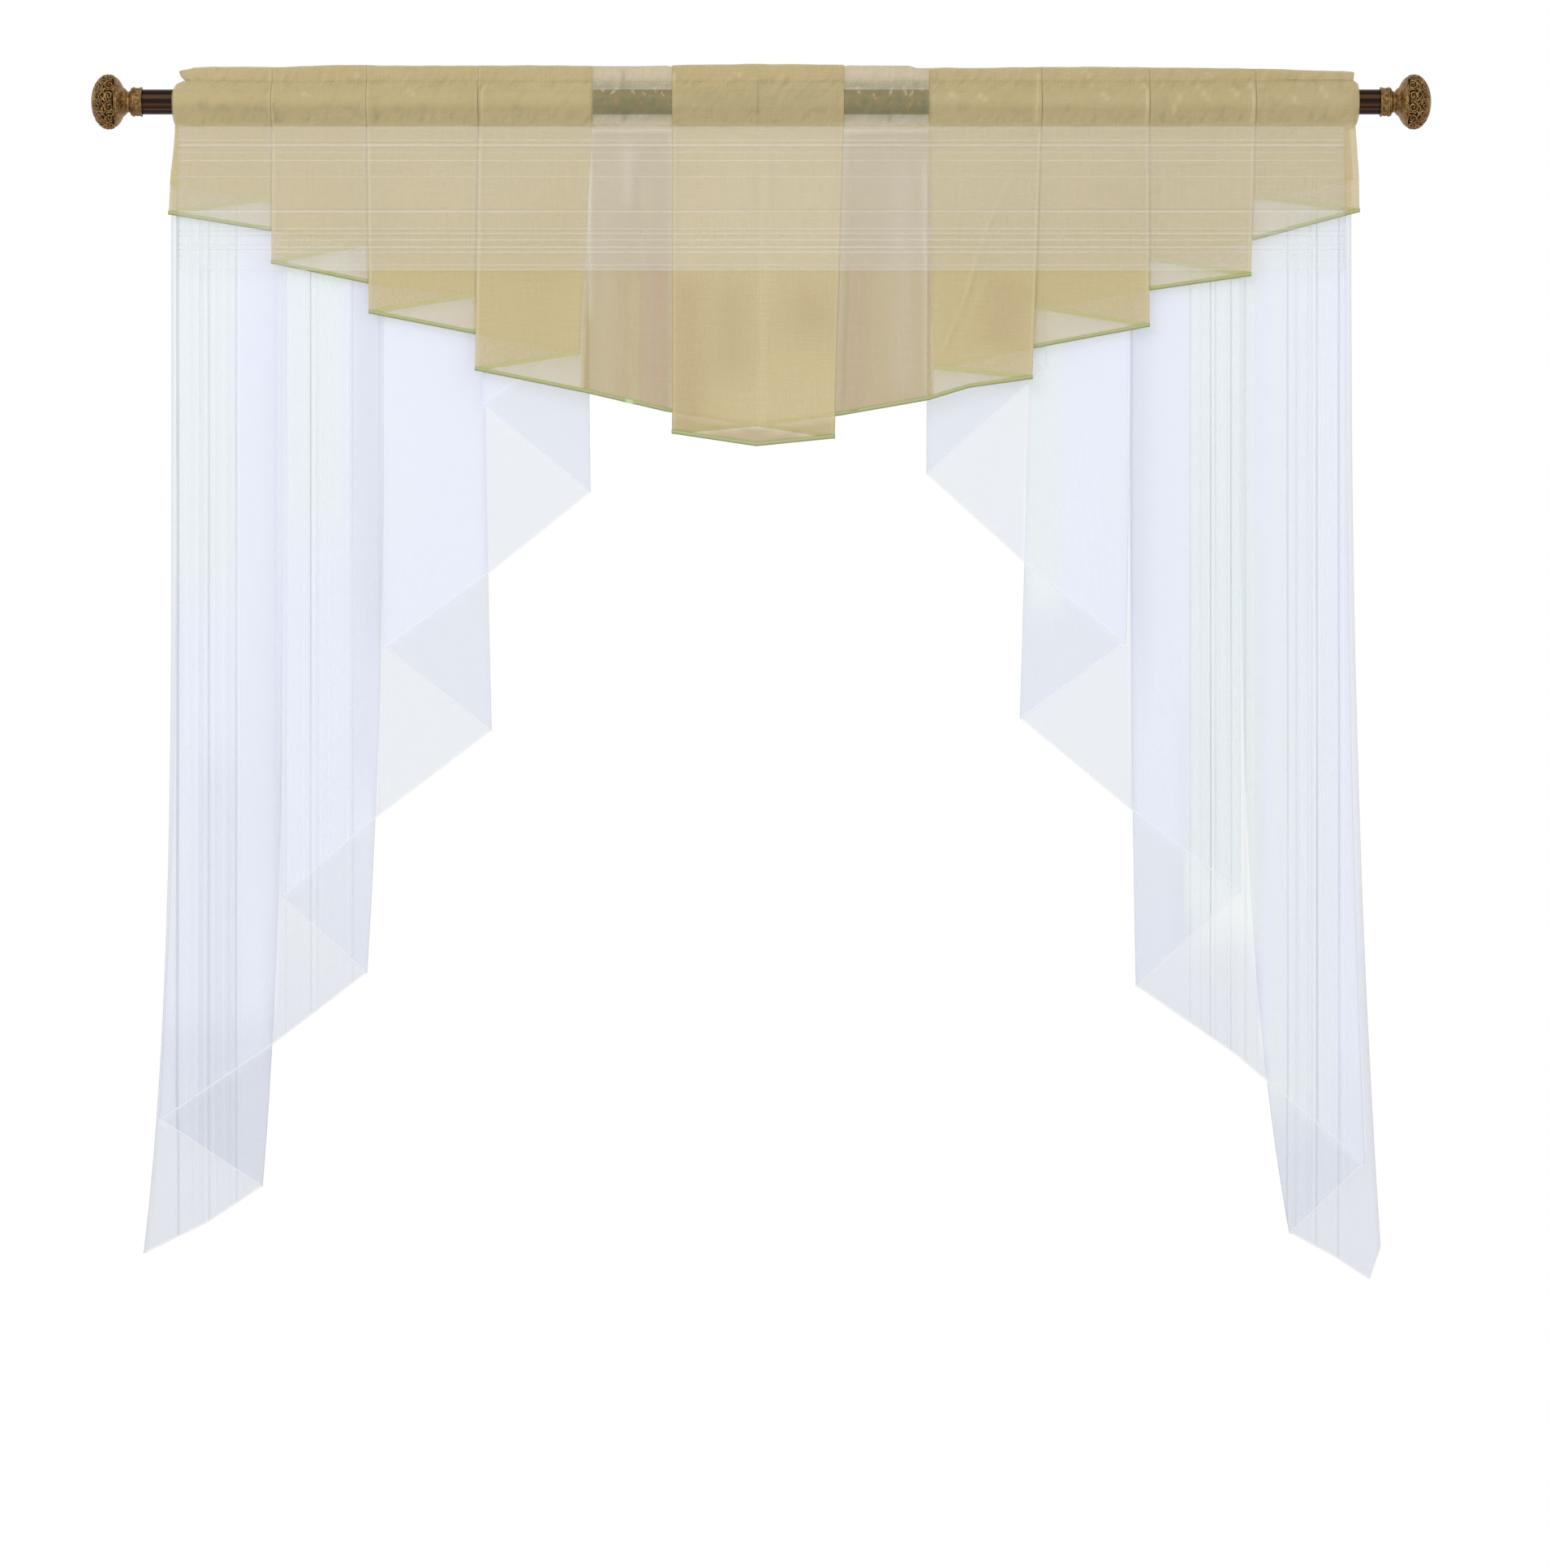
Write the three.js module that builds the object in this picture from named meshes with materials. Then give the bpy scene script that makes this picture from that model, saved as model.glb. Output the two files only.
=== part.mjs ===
// Arched cafe curtain on a decorative rod: a pleated sheer valance threaded on the rod by its
// pocket, a narrow binding along the valance's hem, a straight voile band in front of it and
// two cascading side panels behind it.
// Millimetres, +Z up. The origin is the middle of the rod's axis, +X runs to the right along
// the rod, and the front of the curtain faces -Y.

import * as THREE from "three";
import { mergeVertices } from "three/addons/utils/BufferGeometryUtils.js";

// ---------------------------------------------------------------- driving sizes

const CLOTH = 1.0; // thickness of every sheet
const GAP = 0.3; // clearance between pieces that touch
const HALF = CLOTH / 2;

const ROD = { radius: 16, halfLength: 800, sides: 32 };

// Heights of the two stitch lines that make the rod pocket, and of the cloth's turned-in end.
const LOWER_STITCH = -30;
const HEADER_STITCH = 26;
const TURNING_END = LOWER_STITCH - 4.7;

// At the stitch lines the pocket's front and back lie this far to either side of the rod's plane.
const STITCH_HALF_GAP = HALF + GAP;

// The pocket's front bends round the rod in ARC_STEPS flat facets, and the heading's top edge in
// CROWN_STEPS. HALF_FACET is half the turn from one of the pocket's facets to the next.
const ARC_STEPS = 4;
const CROWN_STEPS = 3;
const HALF_FACET = THREE.MathUtils.degToRad(9);

// Pleats lie in three layers. LEVEL is the distance between layers where they are stitched,
// and lower down each pleat slants from its hidden fold out to its front fold. At the hem, depth is
// the reach of the slant, fold the thickness of a fold and edge the depth at the side edges.
const LEVEL = 1.7;
const VALANCE_FLARE = { depth: 16, fold: 3.6, edge: 4 };
const STEP_RUN = 6; // how far a hidden fold lies behind the next front fold

const BINDING_HEIGHT = 5;

// Depth of the side panels' folds, and the thickness of one fold, at the seam and at the bottom.
// Below the valance the folds swing forward, so that the cloth hangs under its seam. The inner and
// outer edges lie between the hidden folds (0) and the front folds (1) by these shares.
const PANEL_TOP = TURNING_END - GAP;
const PANEL_BOTTOM = -1510;
const PANEL_DEPTH = { top: 7.5, bottom: 34 };
const PANEL_FOLD = { top: 1.5, bottom: 4.5 };
const PANEL_SWING = { start: -450, forward: 15 };
const PANEL_EDGE_REACH = { inner: 0.45, outer: 0.25 };
const PANEL_ROWS = [0, 0.25, 0.5, 0.7, 0.86, 1];

const BAND = {
  halfWidth: 747,
  top: LOWER_STITCH - 2.5,
  bottom: -217,
  waves: 7,
  waveDepth: 1.4,
  columns: 29,
  rows: 4,
};

// ---------------------------------------------------------------- pleat tables

// Outer edges of the valance: x, and how low the hem hangs there.
const VALANCE_EDGES = {
  left: { x: -759, drop: -106 },
  right: { x: 758, drop: -100 },
};

// A row for each knife pleat, from the side towards the middle.
// top, hem: x of the front fold at the heading and at the hem.
// hidden, front, cover: hem heights at the hidden fold, at the front fold, and where the next
// pleat begins to cover this one.
const LEFT_PLEATS = [
  { top: -757, hem: -759, hidden: -126, front: -145, cover: -166 },
  { top: -627, hem: -627, hidden: -185, front: -208, cover: -233 },
  { top: -505, hem: -502, hidden: -250, front: -272, cover: -298 },
  { top: -362, hem: -366, hidden: -324, front: -345, cover: -371 },
];
const RIGHT_PLEATS = [
  { top: 765, hem: 766, hidden: -124, front: -142, cover: -178 },
  { top: 633, hem: 627, hidden: -204, front: -224, cover: -242 },
  { top: 497, hem: 497, hidden: -265, front: -289, cover: -316 },
  { top: 359, hem: 347, hidden: -343, front: -356, cover: -366 },
];

// Where the innermost pleat on each side ends, and the box pleat between two single layers. Its
// apex is the lowest point of the hem.
// level: 0 back, 1 middle, 2 front.
const LEFT_INNER = { top: -216, hem: -232 };
const RIGHT_INNER = { top: 215, hem: 221 };
const MIDDLE = [
  { kind: "bend", top: -208, hem: -222, drop: -374, level: 2 },
  { kind: "bend", top: -122, hem: -122, drop: -397, level: 0 },
  { kind: "hidden", top: -8, hem: -8, drop: -416 },
  { kind: "front", top: -114, hem: -114, drop: -426 },
  { kind: "apex", top: -4, hem: -6, drop: -442, level: 2 },
  { kind: "front", top: 106, hem: 94, drop: -432 },
  { kind: "hidden", top: 0, hem: -1, drop: -416 },
  { kind: "bend", top: 114, hem: 102, drop: -402, level: 0 },
  { kind: "bend", top: 207, hem: 213, drop: -383, level: 2 },
  { kind: "bend", top: 274, hem: 266, drop: -367, level: 2 },
];

// Height of the heading's ruffled top edge along the rod.
const CROWN = [
  { x: -760, z: 39 },
  { x: -664, z: 45 },
  { x: -528, z: 48 },
  { x: -248, z: 46 },
  { x: 40, z: 49 },
  { x: 215, z: 44 },
  { x: 480, z: 45 },
  { x: 766, z: 37 },
];

// How far the cloth's side edges draw in at each height, easing out over END_EASE from the edge.
const END_EASE = 140;
const TUCK = {
  hem: { left: 0, right: 0 },
  skirt: { left: 3, right: 0 },
  lowerStitch: { left: 8, right: 5 },
  pocket: { left: 5, right: -2 },
  headerStitch: { left: 23, right: 7 },
  crown: { left: 13, right: 5 },
};

// Rows of the skirt between the hem and the lower stitch.
const SKIRT_ROWS = [
  { share: 1, tuck: TUCK.hem },
  { share: 0.66, tuck: TUCK.skirt },
  { share: 0.33, tuck: TUCK.skirt },
];

// A row for each fold of a cascade, from its inner edge to its outer edge.
// top, hem: x at the seam and at the hem. drop: height of the hem. sway: power of the drift from
// top to hem (1 is a straight fold line, more keeps it straight first and swings it out low down).
const LEFT_CASCADE = [
  { kind: "inner", top: -222, hem: -225, drop: -292, sway: 1 },
  { kind: "front", top: -358, hem: -358, drop: -389, sway: 1 },
  { kind: "hidden", top: -222, hem: -219, drop: -500, sway: 2 },
  { kind: "bend", top: -352, hem: -350, drop: -604, sway: 1 },
  { kind: "front", top: -484, hem: -484, drop: -700, sway: 1 },
  { kind: "hidden", top: -356, hem: -346, drop: -806, sway: 2 },
  { kind: "bend", top: -494, hem: -494, drop: -917, sway: 1 },
  { kind: "front", top: -613, hem: -615, drop: -1020, sway: 1 },
  { kind: "hidden", top: -494, hem: -506, drop: -1117, sway: 2 },
  { kind: "bend", top: -626, hem: -633, drop: -1213, sway: 1 },
  { kind: "front", top: -750, hem: -771, drop: -1305, sway: 4 },
  { kind: "hidden", top: -630, hem: -640, drop: -1391, sway: 2 },
  { kind: "bend", top: -700, hem: -711, drop: -1437, sway: 3 },
  { kind: "outer", top: -757, hem: -793, drop: -1477, sway: 5 },
];
const RIGHT_CASCADE = [
  { kind: "inner", top: 217, hem: 217, drop: -233, sway: 1 },
  { kind: "front", top: 364, hem: 365, drop: -343, sway: 1 },
  { kind: "hidden", top: 214, hem: 212, drop: -477, sway: 1 },
  { kind: "bend", top: 342, hem: 340, drop: -592, sway: 1 },
  { kind: "front", top: 475, hem: 468, drop: -694, sway: 2 },
  { kind: "hidden", top: 348, hem: 332, drop: -790, sway: 1.5 },
  { kind: "bend", top: 485, hem: 484, drop: -915, sway: 1 },
  { kind: "front", top: 614, hem: 614, drop: -1013, sway: 1 },
  { kind: "hidden", top: 486, hem: 481, drop: -1134, sway: 2 },
  { kind: "bend", top: 606, hem: 610, drop: -1222, sway: 1 },
  { kind: "front", top: 750, hem: 773, drop: -1360, sway: 2.5 },
  { kind: "hidden", top: 656, hem: 678, drop: -1451, sway: 2 },
  { kind: "bend", top: 712, hem: 733, drop: -1479, sway: 2 },
  { kind: "bend", top: 742, hem: 781, drop: -1510, sway: 2.5 },
  { kind: "outer", top: 757, hem: 795, drop: -1468, sway: 2.5 },
];

// ---------------------------------------------------------------- finish

const FINISHES = {
  gold: { color: 0xc4b58c, roughness: 0.85, metalness: 0 },
  olive: { color: 0xb4be78, roughness: 0.8, metalness: 0 },
  white: { color: 0xedf1f9, roughness: 0.9, metalness: 0 },
  bronze: { color: 0x3b241b, roughness: 0.35, metalness: 0.7 },
  brass: { color: 0x8a6a35, roughness: 0.45, metalness: 0.9 },
};

function finish(name) {
  return new THREE.MeshStandardMaterial(FINISHES[name]);
}

// ---------------------------------------------------------------- small helpers

const lerp = THREE.MathUtils.lerp;
const clamp = THREE.MathUtils.clamp;

/** Value of a table of {x, z} rows at x, straight between rows. */
function tableValue(rows, x) {
  const last = rows.length - 1;
  if (x <= rows[0].x) return rows[0].z;
  if (x >= rows[last].x) return rows[last].z;
  const next = rows.findIndex((row) => row.x >= x);
  const low = rows[next - 1];
  const high = rows[next];
  return lerp(low.z, high.z, (x - low.x) / (high.x - low.x));
}

/** Faces outwards whichever way the shape was wound, with shared vertices merged. */
function closedGeometry(source) {
  source.deleteAttribute("normal");
  source.deleteAttribute("uv");
  const geometry = mergeVertices(source, 1e-4);
  const place = geometry.getAttribute("position");
  const index = geometry.getIndex();
  const corner = [new THREE.Vector3(), new THREE.Vector3(), new THREE.Vector3()];
  let volume = 0;
  for (let i = 0; i < index.count; i += 3) {
    corner.forEach((point, k) => point.fromBufferAttribute(place, index.getX(i + k)));
    volume += corner[0].dot(corner[1].cross(corner[2])) / 6;
  }
  if (volume < 0) {
    for (let i = 0; i < index.count; i += 3) {
      const swap = index.getX(i + 1);
      index.setX(i + 1, index.getX(i + 2));
      index.setX(i + 2, swap);
    }
  }
  geometry.computeVertexNormals();
  return geometry;
}

/** Unit normal of the section's segment from point i to point i + 1. */
function segmentNormal(section, i) {
  const along = section[i + 1].clone().sub(section[i]).normalize();
  return new THREE.Vector2(-along.y, along.x);
}

/** Mitred offset of each point of an open section, half a cloth's thickness to its left. */
function sectionOffsets(section) {
  const last = section.length - 1;
  return section.map((_, i) => {
    const before = segmentNormal(section, Math.max(i - 1, 0));
    const after = segmentNormal(section, Math.min(i, last - 1));
    const mitre = before.clone().add(after).normalize();
    return mitre.multiplyScalar(HALF / mitre.dot(after));
  });
}

/**
 * A closed sheet. sectionAt(row) gives the sheet's centreline there as Vector2 (x, depth), and
 * place(row, column, x, depth) puts a point of that section in space. Every quad is split along
 * the diagonal that falls from left to right, so that layers one behind the other twist alike.
 */
function sheetGeometry(rowCount, sectionAt, place) {
  const points = [];
  const columnCount = sectionAt(0).length;
  for (let row = 0; row < rowCount; row += 1) {
    const section = sectionAt(row);
    const offsets = sectionOffsets(section);
    for (const side of [1, -1]) {
      section.forEach((point, column) => {
        const shifted = offsets[column].clone().multiplyScalar(side).add(point);
        points.push(place(row, column, shifted.x, shifted.y));
      });
    }
  }
  const at = (row, side, column) => (row * 2 + side) * columnCount + column;
  const indices = [];
  const quad = (a, b, c, d) => indices.push(a, b, c, a, c, d);
  const first = sectionAt(0);
  const lastRow = rowCount - 1;
  const lastColumn = columnCount - 1;
  for (let row = 0; row < lastRow; row += 1) {
    for (let column = 0; column < lastColumn; column += 1) {
      const next = column + 1;
      const low = row + 1;
      const front = [at(row, 0, column), at(row, 0, next), at(low, 0, next), at(low, 0, column)];
      const back = [at(row, 1, column), at(low, 1, column), at(low, 1, next), at(row, 1, next)];
      const turn = first[next].x < first[column].x ? 1 : 0;
      quad(...front.slice(turn), ...front.slice(0, turn));
      quad(...back.slice(turn), ...back.slice(0, turn));
    }
    const edge = (side, column) => [at(row, side, column), at(row + 1, side, column)];
    quad(...edge(0, 0), ...edge(1, 0).reverse());
    quad(...edge(1, lastColumn), ...edge(0, lastColumn).reverse());
  }
  for (let column = 0; column < lastColumn; column += 1) {
    const next = column + 1;
    quad(at(0, 0, column), at(0, 1, column), at(0, 1, next), at(0, 0, next));
    quad(at(lastRow, 0, column), at(lastRow, 0, next), at(lastRow, 1, next), at(lastRow, 1, column));
  }
  const geometry = new THREE.BufferGeometry();
  geometry.setAttribute("position", new THREE.Float32BufferAttribute(points.flat(), 3));
  geometry.setIndex(indices);
  return closedGeometry(geometry);
}

// ---------------------------------------------------------------- the valance's pleats

/** The two corners of a fold: the cloth arrives at one depth and leaves at another, at the same x. */
function foldCorners(row, arrive, leave) {
  const corner = (side) => ({ top: row.top, hem: row.hem, drop: row.drop, ...side });
  return [corner(arrive), corner(leave)];
}

/** Where a pleat's front fold lies at height z: straight from the stitch to its own hem. */
function frontFoldX(pleat, z) {
  return lerp(pleat.top, pleat.hem, (LOWER_STITCH - z) / (LOWER_STITCH - pleat.front));
}

/** Knife pleats of one side, as section points from the outer edge towards the middle. */
function sidePleats(edge, pleats, inner) {
  const { depth, fold } = VALANCE_FLARE;
  const behind = STEP_RUN * Math.sign(edge.x);
  const points = [{ top: edge.x, hem: edge.x, drop: edge.drop, level: 0, slant: VALANCE_FLARE.edge }];
  pleats.forEach((pleat, i) => {
    const next = pleats[i + 1];
    const hidden = next
      ? { top: next.top + behind, hem: frontFoldX(next, pleat.hidden) + behind, drop: pleat.hidden }
      : { ...inner, drop: pleat.hidden };
    points.push(...foldCorners(hidden, { level: 0, slant: 0 }, { level: 1, slant: fold }));
    const front = { top: pleat.top, hem: pleat.hem, drop: pleat.front };
    points.push(...foldCorners(front, { level: 1, slant: depth - fold }, { level: 2, slant: depth }));
    if (next) {
      const coverHem = frontFoldX(next, pleat.cover);
      points.push({ top: next.top + behind, hem: coverHem + behind, drop: pleat.cover, level: 2 });
      points.push({ top: next.top, hem: coverHem, drop: pleat.cover, level: 0 });
    }
  });
  return points;
}

/** The box pleat and the single layers on both sides of it. */
function middlePleat() {
  const { depth, fold } = VALANCE_FLARE;
  const folds = {
    hidden: [{ level: 0, slant: 0 }, { level: 1, slant: fold }],
    front: [{ level: 1, slant: depth - fold }, { level: 2, slant: depth }],
  };
  const apex = MIDDLE.findIndex((row) => row.kind === "apex");
  return MIDDLE.flatMap((row, i) => {
    if (!folds[row.kind]) return [row];
    const [outer, inner] = folds[row.kind];
    return i < apex ? foldCorners(row, outer, inner) : foldCorners(row, inner, outer);
  });
}

/** Fills in the slant of the points between folds, straight along x. */
function fillSlants(points) {
  return points.map((point, i) => {
    if (point.slant !== undefined) return point;
    const before = points.slice(0, i).findLast((p) => p.slant !== undefined);
    const after = points.slice(i).find((p) => p.slant !== undefined);
    const share = (point.hem - before.hem) / (after.hem - before.hem);
    return { ...point, slant: lerp(before.slant, after.slant, share) };
  });
}

const VALANCE_POINTS = fillSlants([
  ...sidePleats(VALANCE_EDGES.left, LEFT_PLEATS, LEFT_INNER),
  ...middlePleat(),
  ...sidePleats(VALANCE_EDGES.right, RIGHT_PLEATS, RIGHT_INNER).reverse(),
]);
const VALANCE_LOWEST = Math.min(...VALANCE_POINTS.map((point) => point.drop));

/** How far down the skirt a height is: 0 at the lower stitch, 1 at the lowest point of the hem. */
function skirtShare(z) {
  return clamp((LOWER_STITCH - z) / (LOWER_STITCH - VALANCE_LOWEST), 0, 1);
}

/** Depth of a pleat point in front of the cloth's back layer, at height z. */
function pleatDepth(point, z) {
  return lerp(point.level * LEVEL, point.slant, skirtShare(z));
}

/** x with the cloth's side edges drawn in. */
function tucked(x, tuck) {
  const nearLeft = clamp((VALANCE_EDGES.left.x + END_EASE - x) / END_EASE, 0, 1);
  const nearRight = clamp((x - VALANCE_EDGES.right.x + END_EASE) / END_EASE, 0, 1);
  return x + nearLeft * tuck.left - nearRight * tuck.right;
}

/** Station on the skirt: share 0 at the lower stitch, 1 at the hem. lift raises the hem. */
function skirtStation(share, tuck, lift) {
  const height = (point) => lerp(LOWER_STITCH, point.drop + lift, share);
  return {
    section: (point) => {
      const z = height(point);
      return [tucked(lerp(point.top, point.hem, share), tuck), pleatDepth(point, z)];
    },
    base: (point) => ({ y: -STITCH_HALF_GAP, z: height(point), normal: [-1, 0] }),
  };
}

/** Station at and above the lower stitch, where the pleats are pressed flat. */
function headingStation(y, z, normal, tuck) {
  const height = typeof z === "function" ? z : () => z;
  return {
    section: (point) => [tucked(point.top, tuck), point.level * LEVEL],
    base: (point) => ({ y, z: height(point), normal }),
  };
}

/** Offset direction at a corner between two directions, long enough to keep the layers' spacing. */
function cornerNormal(angleA, angleB) {
  const middle = (angleA + angleB) / 2;
  const reach = 1 / Math.cos((angleA - angleB) / 2);
  return [-Math.cos(middle) * reach, Math.sin(middle) * reach];
}

/** Profile of the heading from the lower stitch up the front, over the crown and down the back. */
function headingStations() {
  const low = Math.atan2(LOWER_STITCH, STITCH_HALF_GAP);
  const high = Math.atan2(HEADER_STITCH, STITCH_HALF_GAP);
  const reach = (z) => Math.hypot(STITCH_HALF_GAP, z);
  // The facets' corners stand off, so that the middle of each facet clears the rod.
  const radius = (ROD.radius + GAP + HALF) / Math.cos(HALF_FACET);
  const arcLow = low + Math.acos(radius / reach(LOWER_STITCH));
  const arcHigh = high - Math.acos(radius / reach(HEADER_STITCH));

  const lowerNormal = cornerNormal(0, arcLow);
  const headerNormal = cornerNormal(0, arcHigh);
  const front = [headingStation(-STITCH_HALF_GAP, LOWER_STITCH, lowerNormal, TUCK.lowerStitch)];
  for (let i = 0; i <= ARC_STEPS; i += 1) {
    const angle = lerp(arcLow, arcHigh, i / ARC_STEPS);
    const normal = [-Math.cos(angle), Math.sin(angle)];
    front.push(headingStation(-radius * Math.cos(angle), radius * Math.sin(angle), normal, TUCK.pocket));
  }
  front.push(headingStation(-STITCH_HALF_GAP, HEADER_STITCH, headerNormal, TUCK.headerStitch));

  // The crown's centre is lower than its top edge by the layers that turn round it.
  const layers = STITCH_HALF_GAP + 2 * LEVEL + HALF;
  const crown = (point) => tableValue(CROWN, point.top) - layers;
  const top = [];
  for (let i = 0; i <= CROWN_STEPS; i += 1) {
    const angle = (Math.PI * i) / CROWN_STEPS;
    const normal = [-Math.cos(angle), Math.sin(angle)];
    const height = (point) => crown(point) + STITCH_HALF_GAP * Math.sin(angle);
    top.push(headingStation(-STITCH_HALF_GAP * Math.cos(angle), height, normal, TUCK.crown));
  }

  const back = front
    .map((station) => ({
      section: station.section,
      base: (point) => {
        const { y, z, normal } = station.base(point);
        return { y: -y, z, normal: [-normal[0], normal[1]] };
      },
    }))
    .reverse();
  const turning = headingStation(STITCH_HALF_GAP, TURNING_END, [1, 0], TUCK.lowerStitch);
  return [...front, ...top, ...back, turning];
}

function stationsGeometry(stations) {
  const sectionAt = (row) =>
    VALANCE_POINTS.map((point) => new THREE.Vector2(...stations[row].section(point)));
  const place = (row, column, x, depth) => {
    const { y, z, normal } = stations[row].base(VALANCE_POINTS[column]);
    return [x, y + normal[0] * depth, z + normal[1] * depth];
  };
  return sheetGeometry(stations.length, sectionAt, place);
}

function valanceGeometry() {
  const lift = BINDING_HEIGHT + GAP;
  const skirt = SKIRT_ROWS.map(({ share, tuck }) => skirtStation(share, tuck, lift));
  return stationsGeometry([...skirt, ...headingStations()]);
}

function bindingGeometry() {
  return stationsGeometry([skirtStation(1, TUCK.hem, 0), skirtStation(1, TUCK.hem, BINDING_HEIGHT)]);
}

// ---------------------------------------------------------------- the voile band

function bandGeometry() {
  const heightOf = (row) => lerp(BAND.top, BAND.bottom, row / (BAND.rows - 1));
  const sectionAt = (row) => {
    const z = heightOf(row);
    const frontLayer = Math.max(...VALANCE_POINTS.map((point) => pleatDepth(point, z)));
    const clear = frontLayer + CLOTH + GAP;
    const share = row / (BAND.rows - 1);
    return Array.from({ length: BAND.columns }, (_, i) => {
      const across = i / (BAND.columns - 1);
      const swell = (1 - Math.cos(2 * Math.PI * BAND.waves * across)) / 2;
      const x = lerp(-BAND.halfWidth, BAND.halfWidth, across);
      return new THREE.Vector2(x, clear + BAND.waveDepth * share * swell);
    });
  };
  const place = (row, column, x, depth) => [x, -STITCH_HALF_GAP - depth, heightOf(row)];
  return sheetGeometry(BAND.rows, sectionAt, place);
}

// ---------------------------------------------------------------- the side panels

/** Section points of a cascade. reach: share of the fold depth. folds: how many fold thicknesses. */
function cascadePoints(rows) {
  const corners = {
    inner: [{ reach: PANEL_EDGE_REACH.inner, folds: 0 }],
    front: [{ reach: 1, folds: 0 }, { reach: 1, folds: -1 }],
    hidden: [{ reach: 0, folds: 1 }, { reach: 0, folds: 0 }],
    bend: [{}],
    outer: [{ reach: PANEL_EDGE_REACH.outer, folds: 0 }],
  };
  const points = rows.flatMap((row) => corners[row.kind].map((corner) => ({ ...row, ...corner })));
  return points.map((point, i) => {
    if (point.reach !== undefined) return point;
    const before = points.slice(0, i).findLast((p) => p.reach !== undefined);
    const after = points.slice(i).find((p) => p.reach !== undefined);
    const share = (point.top - before.top) / (after.top - before.top);
    const reach = lerp(before.reach, after.reach, share);
    return { ...point, reach, folds: lerp(before.folds, after.folds, share) };
  });
}

/** Depth of a whole cascade, thickness of its folds and its swing forward, at height z. */
function cascadeShape(z) {
  const share = (PANEL_TOP - z) / (PANEL_TOP - PANEL_BOTTOM);
  const swung = THREE.MathUtils.smoothstep(-z, -PANEL_SWING.start, -PANEL_BOTTOM);
  return {
    depth: lerp(PANEL_DEPTH.top, PANEL_DEPTH.bottom, share),
    fold: lerp(PANEL_FOLD.top, PANEL_FOLD.bottom, share),
    forward: PANEL_SWING.forward * swung,
  };
}

function cascadeGeometry(rows) {
  const points = cascadePoints(rows);
  const heightOf = (row, point) => lerp(PANEL_TOP, point.drop, PANEL_ROWS[row]);
  const sectionAt = (row) =>
    points.map((point) => {
      const { depth, fold } = cascadeShape(heightOf(row, point));
      const x = lerp(point.top, point.hem, PANEL_ROWS[row] ** point.sway);
      return new THREE.Vector2(x, point.reach * depth + point.folds * fold);
    });
  const place = (row, column, x, sectionDepth) => {
    const z = heightOf(row, points[column]);
    const { depth, forward } = cascadeShape(z);
    return [x, STITCH_HALF_GAP + depth - sectionDepth - forward, z];
  };
  return sheetGeometry(PANEL_ROWS.length, sectionAt, place);
}

// ---------------------------------------------------------------- rod, collars and finials

const LATHE_SIDES = 28;

// Distances along the rod from its middle, and radii.
const COLLAR = {
  start: 793,
  end: 805,
  bore: ROD.radius + GAP,
  rim: 19,
  rimWidth: 2.6,
  waist: 17.8,
  chamfer: 0.8,
};
const FINIAL = {
  spigot: ROD.radius,
  flange: 18,
  flangeEnd: 807,
  neck: [
    { along: 808.6, radius: 14.6 },
    { along: 810.2, radius: 13.3 },
    { along: 812.2, radius: 14.2 },
    { along: 814.6, radius: 16.6 },
  ],
  centre: 836.3,
  halfLength: 22.2,
  radius: 35.4,
  joint: THREE.MathUtils.degToRad(31.3), // turn along the oval at which it leaves the neck
  ballSteps: 11,
};

/** Lathe about the rod's axis. Profile rows are [distance along the rod, radius]. */
function turned(profile) {
  const geometry = new THREE.LatheGeometry(
    profile.map(([along, radius]) => new THREE.Vector2(radius, along)),
    LATHE_SIDES,
  );
  geometry.rotateZ(-Math.PI / 2);
  return closedGeometry(geometry);
}

function rodGeometry() {
  const geometry = new THREE.CylinderGeometry(ROD.radius, ROD.radius, 2 * ROD.halfLength, ROD.sides);
  geometry.rotateZ(-Math.PI / 2);
  return closedGeometry(geometry);
}

function collarGeometry() {
  const { start, end, bore, rim, rimWidth, waist, chamfer } = COLLAR;
  return turned([
    [start, bore],
    [start, rim - chamfer],
    [start + chamfer, rim],
    [start + rimWidth, rim],
    [start + rimWidth + chamfer, waist],
    [end - rimWidth - chamfer, waist],
    [end - rimWidth, rim],
    [end - chamfer, rim],
    [end, rim - chamfer],
    [end, bore],
    [start, bore],
  ]);
}

function finialGeometry() {
  const { spigot, flange, flangeEnd, neck, centre, halfLength, radius, joint, ballSteps } = FINIAL;
  const start = ROD.halfLength + GAP;
  const seat = COLLAR.end + GAP;
  const ball = Array.from({ length: ballSteps + 1 }, (_, i) => {
    const angle = lerp(joint, Math.PI, i / ballSteps);
    return [centre - halfLength * Math.cos(angle), i === ballSteps ? 0 : radius * Math.sin(angle)];
  });
  return turned([
    [start, 0],
    [start, spigot],
    [seat, spigot],
    [seat, flange],
    [flangeEnd, flange],
    ...neck.map((ring) => [ring.along, ring.radius]),
    ...ball,
  ]);
}

// ---------------------------------------------------------------- the curtain

const curtain = new THREE.Group();

function add(name, geometry, finishName, turn = 0) {
  const mesh = new THREE.Mesh(geometry, finish(finishName));
  mesh.name = name;
  mesh.rotation.z = turn;
  curtain.add(mesh);
}

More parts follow.
